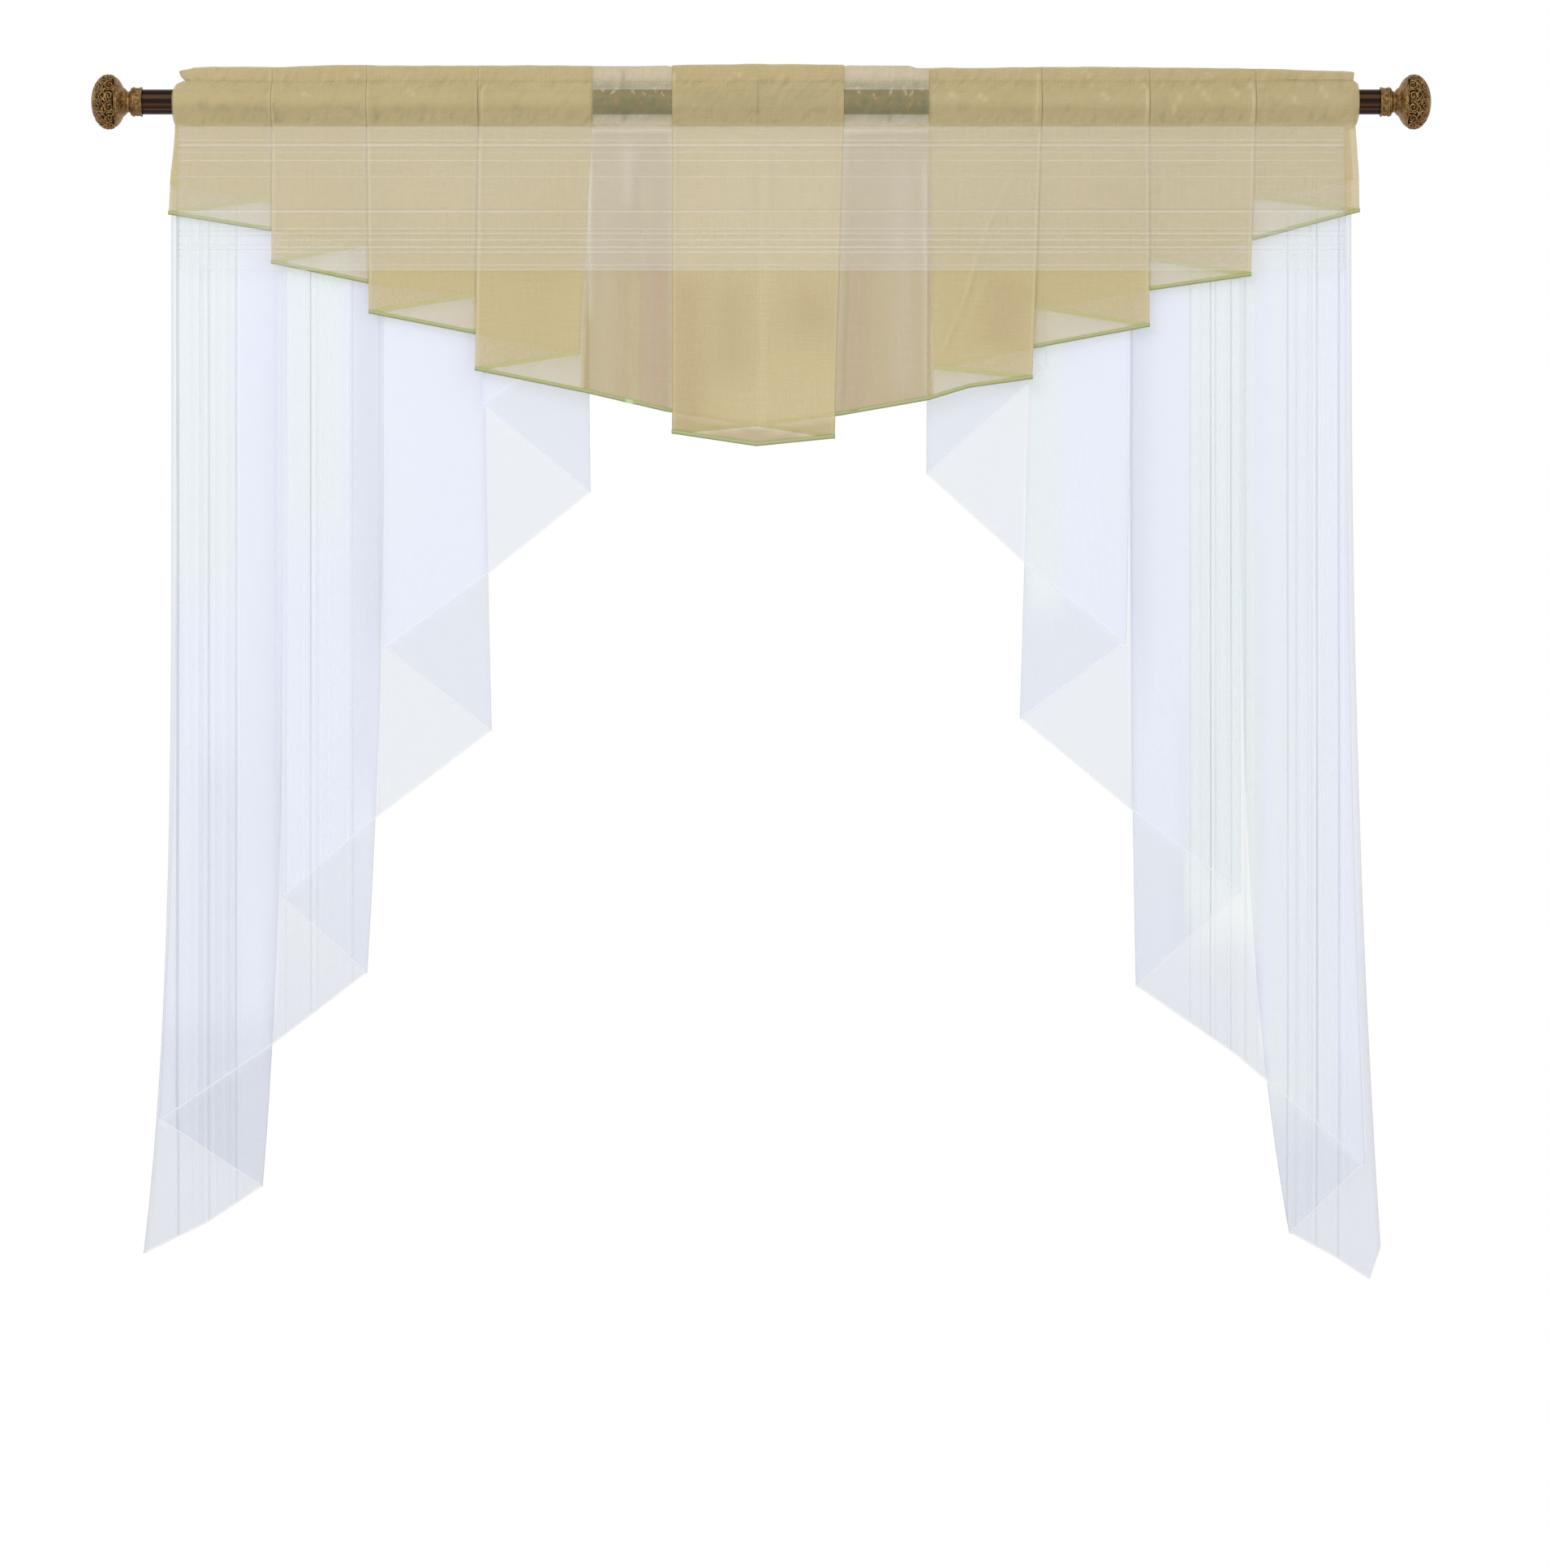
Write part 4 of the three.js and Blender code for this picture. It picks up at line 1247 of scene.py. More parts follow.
    def _side(self, edge: Pair, pleats: Sequence[KnifePleat], inner: Pair) -> list[PleatCorner]:
        """Corners of one side's knife pleats, from the outer edge towards the middle."""
        behind = math.copysign(self.step_run, edge[0])
        corners = [PleatCorner(edge[0], *edge, 0, self.edge_slant)]
        for pleat, following in zip(pleats, [*pleats[1:], None]):
            if following:
                top = following.top + behind
                hem = self.front_fold_x(following, pleat.hidden) + behind
            else:
                top, hem = inner
            corners += self._turn(Bend.HIDDEN, top, hem, pleat.hidden)
            corners += self._turn(Bend.FRONT, pleat.top, pleat.hem, pleat.front)
            if following:
                cover = self.front_fold_x(following, pleat.cover)
                corners.append(PleatCorner(following.top + behind, cover + behind, pleat.cover, 2))
                corners.append(PleatCorner(following.top, cover, pleat.cover, 0))
        return corners

    def _box(self) -> list[PleatCorner]:
        """Corners of the box pleat and the single layers beside it."""
        apex = next(i for i, row in enumerate(self.middle) if row.kind is Bend.APEX)
        corners = []
        for i, row in enumerate(self.middle):
            turn = self._turn(row.kind, row.top, row.hem, row.drop, row.level)
            corners += turn if i < apex else reversed(turn)
        return corners

    def _turn(self, kind: Bend, top: float, hem: float, drop: float, level: float = 0) -> list[PleatCorner]:
        """Corners where the cloth turns: two at a fold, and one of the given level elsewhere."""
        pairs = {
            Bend.HIDDEN: [(0, 0.0), (1, self.fold)],
            Bend.FRONT: [(1, self.depth - self.fold), (2, self.depth)],
        }
        layers = pairs.get(kind, [(level, math.nan)])
        return [PleatCorner(top, hem, drop, *layer) for layer in layers]

    def skirt_share(self, z: Number) -> Number:
        """How far down the skirt a height is: 0 at the lower stitch, 1 at the hem's lowest point."""
        return np.clip((self.lower_stitch - z) / (self.lower_stitch - self.lowest), 0, 1)

    def depth_at(self, z: Grid, corner: int | slice = slice(None)) -> Grid:
        """Depth of a corner, or of all of them, in front of the back layer at a height."""
        return lerp(self.levels[corner] * self.level, self.slants[corner], self.skirt_share(z))

    def stacked(self, x: Grid, z: Grid, depth: Grid) -> tuple[Grid, Grid]:
        """Number of layers at places of the cloth, and how many of them are in front."""
        return self.section.stack(x, np.minimum(z, self.lower_stitch - 1), depth)

    def shown(self, x: Grid, z: Grid, depth: Grid) -> Grid:
        """1 where the place lies in the frontmost layer, else 0."""
        return (self.stacked(x, z, depth)[1] < 0.5) * 1.0

    def front_depth(self, z: float) -> float:
        """Depth of the frontmost layer at a height."""
        return float(np.max(self.depth_at(z)))

    def tucked(self, x: Grid, z: Grid) -> Grid:
        """Draw the cloth's side edges in."""
        near_left = np.clip((self.left[0] + self.ease - x) / self.ease, 0, 1)
        near_right = np.clip((x - self.right[0] + self.ease) / self.ease, 0, 1)
        left = np.interp(z, self.tuck_heights, self.tuck_left)
        right = np.interp(z, self.tuck_heights, self.tuck_right)
        return x + near_left * left - near_right * right

    def sway(self, x: Grid, z: Grid) -> Grid:
        """How far all layers stand forward together below the lower stitch: drift and puckers."""
        share = self.skirt_share(z)
        near_stitch = np.exp(-(self.lower_stitch - z) / self.pucker_reach)
        return self.drift.at(x, z) * share + self.pucker.at(x, z) * near_stitch

    def skirt_points(self, shares: Grid, lift: float) -> Grid:
        """Points of the skirt's centre surface.

        Args:
            shares: 0 at the lower stitch and 1 at the hem, one for each row.
            lift: How far the lowest row stays above the hem.

        Returns:
            Points, rows by columns by 3.
        """
        along = shares[:, None]
        z_corner = lerp(self.lower_stitch, self.section.drops + lift, along)
        x_corner = lerp(self.section.tops, self.section.hems, along)
        x, depth = self.section.sample(x_corner, self.depth_at(z_corner))
        z = self.section.carry(z_corner)
        x = self.tucked(x, z)
        shown = self.shown(x, z, depth)
        forward = depth + self.sway(x, z) + creased(self.creases, x, z)["lift"] * shown
        return np.stack((x, -self.half_gap - forward, z), axis=-1)

    def heading_profile(self) -> list[Triple]:
        """Profile from the lower stitch up the pocket's front, over the crown and down the back.

        Returns:
            Rows of y, fixed height and share of the crown's height.
        """
        radius = self.pocket_radius
        gap = self.half_gap
        low = math.atan2(self.lower_stitch, gap)
        high = math.atan2(self.header_stitch, gap)
        arc_low = low + math.acos(radius / math.hypot(gap, self.lower_stitch))
        arc_high = high - math.acos(radius / math.hypot(gap, self.header_stitch))
        arc = [lerp(arc_low, arc_high, i / 11) for i in range(12)]
        bulge = [(-radius * math.cos(a), radius * math.sin(a), 0.0) for a in arc]
        stitch = (-gap, self.lower_stitch, 0.0)
        header = (-gap, self.header_stitch, 0.0)
        rise = [self._between(stitch, bulge[0], share) for share in (0.12, 0.3, 0.55, 0.8)]
        fall = [self._between(bulge[-1], header, share) for share in (0.3, 0.6, 0.85)]
        upright = [(-gap, self.header_stitch * (1 - s), s) for s in (0.12, 0.3, 0.55, 0.8, 1.0)]
        front = [stitch, *rise, *bulge, *fall, header, *upright]
        crown = [
            (-gap * math.cos(a), gap * math.sin(a), 1.0) for a in np.linspace(0.25, 0.75, 3) * math.pi
        ]
        back = [(-y, z, share) for y, z, share in list(reversed(front))[1::2]]
        return [*front, *crown, *back, (gap, self.lower_stitch - self.turning, 0.0)]

    @staticmethod
    def _between(start: tuple, end: tuple, share: float) -> tuple:
        """Point at a share of the way between two profile points."""
        return tuple(lerp(a, b, share) for a, b in zip(start, end))

    def heading_points(self) -> tuple[Grid, Grid]:
        """Points of the heading and the pocket, rows by columns by 3, and 1 where they are in front."""
        profile = np.array(self.heading_profile())
        normal = self._profile_normals(profile)

        rows = len(profile)
        corner_x = np.broadcast_to(self.section.tops, (rows, len(self.levels)))
        corner_depth = np.broadcast_to(self.levels * self.level, corner_x.shape)
        x, depth = self.section.sample(corner_x, corner_depth)
        outermost = self._outermost(x[0], depth[0])
        places, heights = zip(*self.crown)
        crown = np.interp(x, places, heights) - self.half_gap - outermost - self.thickness
        crown = crown + self.ragged.at(x, 0 * x)
        y = np.broadcast_to(profile[:, :1], x.shape)
        z = profile[:, 1:2] + profile[:, 2:3] * crown
        x = self.tucked(x, z)

        gather = 0.35 + np.abs(self.gathers.at(x + 0.6 * z, z))
        gather += np.abs(self.cross_gathers.at(x - 0.7 * z + 0.25 * x, z))
        pinch = np.exp(-np.abs(z - self.lower_stitch) / 9) + np.exp(-np.abs(z - self.header_stitch) / 8)
        in_pocket = (z > self.lower_stitch) & (z < self.header_stitch) & (np.abs(y) > 2)
        swell = np.where(in_pocket, gather * (0.35 + 0.5 * np.clip(pinch, 0, 1)), 0)
        spread = depth + swell
        wave = self.wave.at(x, z) * smoothstep(z, self.header_stitch, 44)
        ruffle = self.ruffle.at(x, z) * smoothstep(z, self.header_stitch - 1, 32)
        pucker = self.pucker.at(x, z) * np.exp(-np.abs(z - self.lower_stitch) / 6)
        pucker = np.where(profile[:, :1] < 0, pucker, 0) * (np.abs(z - self.lower_stitch) < 6)
        outer = (depth[0] > outermost - 0.4) * (profile[:, :1] < 0)
        lift = creased(self.creases, x, z)["lift"] * outer
        forward = wave + ruffle + pucker + lift
        points = np.stack((x, y + normal[:, :1] * spread - forward, z + normal[:, 1:2] * spread), axis=-1)
        return points, np.broadcast_to(outer, x.shape)

    def _profile_normals(self, profile: Grid) -> Grid:
        """Direction out of the cloth at each row of the heading's profile, mitred at its corners."""
        outline = np.stack((profile[:, 0], profile[:, 1] + profile[:, 2] * self.usual_crown), axis=-1)
        before = np.vstack(([-self.half_gap, self.lower_stitch - 30], outline[:-1]))
        after = np.vstack((outline[1:], outline[-1] + (0, -5)))
        direction_in = (outline - before) / np.linalg.norm(outline - before, axis=1)[:, None]
        direction_out = (after - outline) / np.linalg.norm(after - outline, axis=1)[:, None]
        middle = direction_in + direction_out
        middle /= np.linalg.norm(middle, axis=1)[:, None]
        reach = 1 / np.maximum((middle * direction_out).sum(axis=1), 0.7)
        return np.stack((-middle[:, 1], middle[:, 0]), axis=-1) * reach[:, None]

    @staticmethod
    def _outermost(x: Grid, depth: Grid) -> Grid:
        """Depth of the frontmost layer at each column of a row."""
        low, high = np.minimum(x[:-1], x[1:]), np.maximum(x[:-1], x[1:])
        width = np.where(np.abs(np.diff(x)) < 1e-6, 1, np.diff(x))
        share = np.clip((x[:, None] - x[:-1]) / width, 0, 1)
        inside = (x[:, None] >= low - 0.01) & (x[:, None] <= high + 0.01)
        return np.where(inside, lerp(depth[:-1], depth[1:], share), 0).max(axis=1)

    def tones(self, points: Grid, heading: Grid) -> dict[str, Grid]:
        """What the points of the cloth carry for its finish.

        Args:
            points: Points of the skirt and the heading, rows by columns by 3.
            heading: 1 for the heading's points in front, rows by columns.

        Returns:
            Values for each point, by name.
        """
        x, z = points[..., 0], points[..., 2]
        skirt = len(points) - len(heading)
        layers, ahead = self.stacked(x, z, -self.half_gap - points[..., 1] - self.sway(x, z))
        front = np.maximum(np.concatenate(((ahead[:skirt] < 0.5) * 1.0, heading)), self.groove)
        lone = np.clip((3 - layers) / 2, 0, 1)
        below = smoothstep(-z, 28, 42)
        share = self.skirt_share(z)
        left = lerp(self.left_inner[0] + 1, self.left_inner[1] + 1, share)
        right = lerp(self.right_inner[0] - 1, self.right_inner[1] - 1, share)
        middle = smoothstep(x - left, -2, 2) * smoothstep(right - x, -2, 2)
        skirt_tone = lone * lerp(0.3, 1.0, middle)
        # painted shade on the single layers where the rod lies behind them
        rod_shade = lone * middle * np.interp(z, *zip(*self.rod_shade))
        strokes = creased(self.creases, x, z)
        near_stitch = np.exp(-np.abs(z - self.lower_stitch - 5) / 9) * (z < 22)
        near_header = np.exp(-np.abs(z - self.header_stitch) / 8)
        # tone paints shade, darker in the heading and where few layers hang; thread paints the creases'
        # highlights and shade and the rod's shade
        return {
            "tone": lerp(0.25 + 0.45 * lone, skirt_tone, below),
            "dense": lone * lerp(-0.5, 1.0, middle) * lerp(-0.5, 1.0, below) - strokes["thin"] * front,
            "thread": np.clip((strokes["light"] + rod_shade) * front, -1, 1),
            "blush": np.clip(strokes["warm"] * front, 0, 1),
            # where puckers gather; the finish paints their shade and highlights
            "gather": np.clip(near_stitch + near_header + 0.25 * (1 - below), 0, 1) * front,
        }

    def build(self) -> Piece:
        """Make the valance's cloth."""
        shares = 1 - np.linspace(0, 1, self.skirt_rows)[:-1] ** 1.12
        skirt = self.skirt_points(shares, self.binding)
        heading, front = self.heading_points()
        points = np.concatenate((skirt, heading))
        attributes = self.tones(points, front)
        rows = np.arange(len(points))[:, None]
        attributes["hem"] = np.isin(rows, (len(shares), len(shares) + 1)) * 0.6
        piece = sheet_piece("valance_cloth", points, attributes, self.thickness, GOLD_VOILE)
        return stand_for(piece, "valance")


@dataclass
class HemBinding:
    """Narrow olive strip, folded round the valance's raw hem."""

    valance: Valance
    height: float = 5.0
    half_width: float = 0.75
    thickness: float = 0.3

    def build(self) -> Piece:
        """Fold the strip round the hem, one row of points for each line along it."""
        line = self.valance.skirt_points(np.array([1.0]), 0.0)[0]
        run = np.gradient(line[:, :2], axis=0)
        run /= np.linalg.norm(run, axis=1)[:, None]
        side = np.stack((-run[:, 1], run[:, 0]), axis=-1)
        legs = [(-1.0, self.height), (-1.0, self.height / 2), (-0.9, 0.9), (-0.45, 0.15)]
        profile = [*legs, (0.0, 0.0), *[(-across, up) for across, up in reversed(legs)]]
        rows = []
        for across, up in profile:
            offset = side * (across * self.half_width)
            rows.append(np.column_stack((line[:, :2] + offset, line[:, 2] + up)))
        points = np.array(rows)
        low = np.array([1.0 if up < 1.5 else 0.0 for _, up in profile])[:, None]
        depth = -self.valance.half_gap - line[:, 1] - self.valance.sway(line[:, 0], line[:, 2])
        veiled = 1.0 - self.valance.shown(line[:, 0], line[:, 2] + self.height, depth + self.height / 4)
        attributes = {"hem": low, "tone": veiled[None, :]}
        piece = sheet_piece("hem_binding", points, attributes, self.thickness, OLIVE_SATIN)
        return stand_for(piece, "valance_binding")


@dataclass
class PocketStitches:
    """Two lines of running stitches that make the rod pocket."""

    valance: Valance
    pitch: float = 4.6
    length: float = 3.0
    radius: float = 0.28
    ends: Pair = (24.0, 8.0)  # from the side edges to the first and the last stitch
    before: float = 60.0  # a place in front of the whole cloth
    proud: float = 0.1  # how far a stitch's middle stands in front of the cloth

    def build(self, cloth: Piece) -> Piece:
        """Make one stitch, then lay copies of it along both lines as one joined mesh."""
        stitch = ball("stitch", (6, 4), self.radius, (self.length / 2 / self.radius, 0.8, 1))
        shape = np.array([vert.co[:] for vert in stitch.data.vertices])
        faces = [tuple(face.vertices) for face in stitch.data.polygons]
        bpy.data.objects.remove(stitch)

        lines = (self.valance.lower_stitch, self.valance.header_stitch)
        places = np.concatenate([self.front_line(cloth, height) for height in lines])
        verts = np.concatenate([shape + place * MM for place in places])
        starts = range(0, len(verts), len(shape))
        polygons = [[start + corner for corner in face] for start in starts for face in faces]
        mesh = bpy.data.meshes.new("pocket_stitches")
        mesh.from_pydata(verts.tolist(), [], polygons)
        mesh.shade_smooth()
        mesh.materials.append(GOLD_THREAD.material())
        piece = placed("pocket_stitches", mesh)
        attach(piece, BODY)
        return piece

    def front_line(self, cloth: Piece, height: float) -> Grid:
        """Places along the cloth's front at a height, one for each stitch, in millimetres."""
        low, high = self.valance.left[0] + self.ends[0], self.valance.right[0] - self.ends[1]
        places = []
        for x in np.arange(low, high, self.pitch):
            start = Vector((x * MM, -self.before * MM, height * MM))
            hit, where, _, _ = cloth.ray_cast(start, Vector((0, 1, 0)))
            if hit:
                places.append((x, where.y / MM - self.proud, height))
        return np.array(places)


# ---------------- the white voile


@dataclass
class VoileBand:
    """Straight white band over the upper part of the valance, with thread lines along it."""

    valance: Valance
    half_width: float = 747.0
    top: float = -32.5
    bottom: float = -217.0
    clear: float = 1.5
    waves: int = 7
    wave_depth: float = 1.4
    thickness: float = 0.4
    columns: int = 220
    row_height: float = 6.0
    hem_height: float = 2.6
    side_hem: float = 2.5
    side_column: float = 2.4  # the columns of points at the side hems
    stand_off: float = 2.4  # in front of the valance's own waves
    clouds: Ripple = Ripple(1.0, 60, 200, 11.5)

    def build(self) -> Piece:
        """Hang the band just clear of the pleats."""
        steps = round((self.top - self.bottom) / self.row_height)
        heights = np.linspace(self.bottom, self.top, steps + 1)
        heights = np.insert(heights, 1, self.bottom + self.hem_height)
        x = np.linspace(-self.half_width, self.half_width, self.columns)
        edge = self.half_width - self.side_column
        x = np.sort(np.append(x, (-edge, edge)))[None, :]
        z = heights[:, None]
        share = (self.top - z) / (self.top - self.bottom)
        front = np.array([self.valance.front_depth(height) for height in heights])[:, None]
        across = (x + self.half_width) / (2 * self.half_width)
        swell = self.wave_depth * share * (1 - np.cos(math.tau * self.waves * across)) / 2
        lift = self.valance.sway(x, z) + self.stand_off
        lift = lift + np.abs(self.clouds.at(x, z)) * share
        y = -self.valance.half_gap - front - self.clear - swell - lift
        points = np.stack(np.broadcast_arrays(x, y, z), axis=-1)
        hem = 1.0 * (heights < self.bottom + 0.1) + 0.5 * (heights > self.top - 0.1)
        side = np.abs(x) > self.half_width - self.side_hem
        attributes = {"thread": side * -0.3, "hem": hem[:, None]}
        piece = sheet_piece("white_band", points, attributes, self.thickness, BAND_VOILE)
        return stand_for(piece, "voile_band")


class Fold(Enum):
    """Corners of a cascade: share of its depth and fold thicknesses at each. A bend has none of
    its own and lies between its neighbours."""

    INNER = ((0.45, 0.0),)
    FRONT = ((1.0, 0.0), (1.0, -1.0))
    HIDDEN = ((0.0, 1.0), (0.0, 0.0))
    BEND = ((math.nan, math.nan),)
    OUTER = ((0.25, 0.0),)


@dataclass(frozen=True)
class CascadeFold:
    """A fold of a cascade: x at the seam and at the hem, the hem's height, and the power with
    which the fold line drifts from one x to the other."""

    kind: Fold
    top: float
    hem: float
    drop: float
    sway: float = 1.0


def cascade(*rows: tuple) -> tuple[CascadeFold, ...]:
    """Folds of a cascade, each given as the name of its kind and then the rest of its values."""
    return tuple(CascadeFold(Fold[kind], *values) for kind, *values in rows)


@dataclass(frozen=True)
class Stretch:
    """A soft upright stretch of a panel with a creamier tint and painted greyer shade."""

    middle: float
    half_width: float
    high: float
    low: float
    cream: float
    # strength of the painted shade
    grey: float

    def weight(self, x: Grid, z: Grid) -> Grid:
        """Share of the stretch at each place."""
        inside = smoothstep(self.half_width - np.abs(x - self.middle), -6, 6)
        inside = inside * smoothstep(self.high - z, -20, 60)
        return inside * smoothstep(z - self.low, -60, 60)


@dataclass
class SidePanel:
    """A white voile panel that falls in a cascade behind the valance."""

    valance: Valance
    side: str
    folds: Sequence[CascadeFold]
    stretches: Sequence[Stretch]
    finish: Voile
    seed: float
    top: float = -35.0
    bottom: float = -1510.0
    depth: Pair = (7.5, 34.0)  # of the cascade, at the seam and at its lowest point
    fold: Pair = (1.5, 4.5)  # thickness of a fold, at the same two heights
    half_gap: float = 0.8
    swing: Pair = (450.0, 15.0)  # how low the panel begins to swing forward, and how far it does
    thickness: float = 0.4
    spacing: float = 8.0
    body_rows: int = 100
    hem_rows: tuple[float, ...] = (0.0, 1.6, 3.2, 9.0)  # heights of the rows above the hem
    # painted shade beside each front fold: how grey it makes the cloth, and how far it reaches
    shade: float = 0.28  # greyness beside a front fold
    shade_reach: float = 26.0  # how far the greyness reaches

    def __post_init__(self) -> None:
        """Lay out the corners of the folded cloth and its columns."""
        rows = [
            (fold.top, fold.hem, fold.drop, fold.sway, *corner)
            for fold in self.folds
            for corner in fold.kind.value
        ]
        tops, hems, drops, sways, reach, thick = np.array(rows, dtype=float).T
        self.reach, self.thick = fill_between(reach, tops), fill_between(thick, tops)
        self.section = FoldedSection(
            tops, hems, drops, sways, self.top, self.depth_at, lambda i: self.spacing
        )

    def depth_at(self, z: Grid, corner: int | slice = slice(None)) -> Grid:
        """Depth of a corner, or of all of them, in front of the back layer at a height."""
        level = (self.top - z) / (self.top - self.bottom)
        return self.reach[corner] * lerp(*self.depth, level) + self.thick[corner] * lerp(*self.fold, level)

    def build(self) -> Piece:
        """Hang the panel's folds from the seam to the slanting hem."""
        section = self.section
        body = np.linspace(0, 1, self.body_rows)
        lifts = np.concatenate((np.full(len(body), self.hem_rows[-1]), self.hem_rows[-2::-1]))[:, None]
        shares = np.concatenate((body, np.ones(len(self.hem_rows) - 1)))[:, None]
        z_corner = lerp(self.top, section.drops + lifts, shares)
        run = np.clip((self.top - z_corner) / (self.top - section.drops), 0, 1)
        x_corner = lerp(section.tops, section.hems, run**section.sways)
        x, depth = section.sample(x_corner, self.depth_at(z_corner))
        hem_z = section.carry(section.drops[None, :])
        z = lerp(self.top, hem_z + lifts, shares)

        whole = lerp(*self.depth, (self.top - z) / (self.top - self.bottom))
        forward = self.swing[1] * smoothstep(-z, self.swing[0], -self.bottom)
        loose = smoothstep(-z, 60, 700)
        drift = Ripple(3.4, 130, 420, self.seed).at(x, z) * loose
        drift += Ripple(0.8, 34, 300, self.seed + 4).at(x, z) * loose
        x = self.valance.tucked(x, z)
        y = self.half_gap + whole - depth - forward - drift
        points = np.stack((x, y, z), axis=-1)[::-1]

        hem = np.zeros((len(points), 1))
        hem[0:2] = 1.0
        x, z = points[..., 0], points[..., 2]

        layers, _ = section.stack(x, z, depth[::-1])
        lone = np.clip((3 - layers) / 2, 0, 1)
        cream, grey = 0.0 * x, 0.0 * x
        for stretch in self.stretches:
            weight = stretch.weight(x, z)
            cream += stretch.cream * weight
            grey += stretch.grey * weight
        # tone paints shade: greyer where few layers hang, in the stretches' grey and beside the front folds
        tone = np.clip(lone + grey + self._fold_shade(x, z), 0, 1)
        cream = np.clip(cream + 0.5 * lone * smoothstep(z, -1200, -900), 0, 1)
        attributes = {"hem": hem, "tone": tone, "dense": lone, "blush": cream}
        name = f"white_panel_{self.side}"
        piece = sheet_piece(name, points, attributes, self.thickness, self.finish)
        return stand_for(piece, f"side_panel_{self.side}")

    def _fold_shade(self, x: Grid, z: Grid) -> Grid:
        """Painted shade: a soft greyer strip beside each front fold, where the layers behind it lie deeper.
        """
        shade = np.zeros(x.shape)
        for fold in self.folds:
            if fold.kind is Fold.FRONT:
                run = np.clip((self.top - z) / (self.top - fold.drop), 0, 1)
                edge = lerp(fold.top, fold.hem, run**fold.sway)
                beyond = (x - edge) * math.copysign(1.0, fold.top)
                near = np.where(beyond > 0, np.exp(-np.maximum(beyond, 0) / self.shade_reach), 0)
                shade += self.shade * near * smoothstep(z - fold.drop, -50, 60)
        return shade


LEFT_CASCADE = cascade(
    ("INNER", -222, -225, -292), ("FRONT", -358, -358, -389), ("HIDDEN", -222, -219, -500, 2),
    ("BEND", -352, -350, -604), ("FRONT", -484, -484, -700), ("HIDDEN", -356, -346, -806, 2),
    ("BEND", -494, -494, -917), ("FRONT", -613, -615, -1020), ("HIDDEN", -483, -506, -1117, 3),
    ("BEND", -626, -633, -1213), ("FRONT", -750, -771, -1305, 4), ("HIDDEN", -612, -640, -1391, 4),
    ("BEND", -700, -711, -1437, 3), ("OUTER", -757, -793, -1477, 5),
)
RIGHT_CASCADE = cascade(
    ("INNER", 217, 217, -233), ("FRONT", 364, 365, -343), ("HIDDEN", 214, 212, -477),
    ("BEND", 342, 340, -592), ("FRONT", 475, 468, -694, 2), ("HIDDEN", 348, 332, -790, 1.5),
    ("BEND", 485, 484, -915), ("FRONT", 614, 614, -1013), ("HIDDEN", 472, 481, -1134, 2.5),
    ("BEND", 606, 610, -1222), ("FRONT", 750, 773, -1360, 2.5), ("HIDDEN", 614, 678, -1451, 4),
    ("BEND", 712, 733, -1479, 2), ("BEND", 742, 781, -1510, 2.5), ("OUTER", 757, 795, -1468, 2.5),
)
LEFT_STRETCHES = (
    Stretch(-712, 40, -100, -640, 0.9, 0),
    Stretch(-572, 38, -100, -560, 0.9, 0),
    Stretch(-508, 16, -100, -880, 0, 0.26),
    Stretch(-697, 26, -820, -1480, 0, 0.22),
    Stretch(-747, 8, -100, -1480, 0, 0.09),
    Stretch(-614, 22, -1010, -1240, 0, 0.25),
    Stretch(-715, 90, -1160, -1500, 0, 0.3),
)
RIGHT_STRETCHES = (
    Stretch(366, 22, -100, -640, 0.9, 0),
    Stretch(486, 14, -100, -780, 0, 0.18),
    Stretch(592, 48, -100, -1060, 0.9, 0.06),
    Stretch(628, 14, -560, -1300, 0.2, 0.25),
    Stretch(690, 40, -100, -1300, 0.7, -0.1),
    Stretch(560, 26, -760, -1240, 0, 0.18),
    Stretch(715, 90, -1220, -1530, 0, 0.12),
)


# ---------------- rod and ends


@dataclass
class Rod:
    """Steel tube with rounded rims at its ends."""

    sides: int = 96
    wall: float = 1.0
    bore: float = 20.0
    rim: float = 0.4

    def build(self) -> Piece:
        """Bore both ends of a bar and round their rims."""
        low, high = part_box("rod")
        radius, half = high[2], high[0]
        bpy.ops.mesh.primitive_cylinder_add(
            vertices=self.sides, radius=radius, depth=2 * half, rotation=(0, math.pi / 2, 0)
        )
        piece = added("curtain_rod")
        settle(piece)
        for end in (-1, 1):
            with editing(piece) as mesh:
                pick(piece, mesh, lambda place: place.x * end > half - 1e-5)
                bpy.ops.mesh.inset(thickness=self.wall * MM)
                bpy.ops.mesh.extrude_region_move(
                    TRANSFORM_OT_translate={"value": (-end * self.bore * MM, 0, 0)}
                )
        with editing(piece) as mesh:
            pick(piece, mesh, lambda place: abs(place.x) > half - 1e-5)
            bpy.ops.mesh.bevel(offset=self.rim * MM, segments=2)
        smooth(piece)
        piece.data.materials.append(DARK_BRONZE.material())
        return stand_for(piece, "rod")


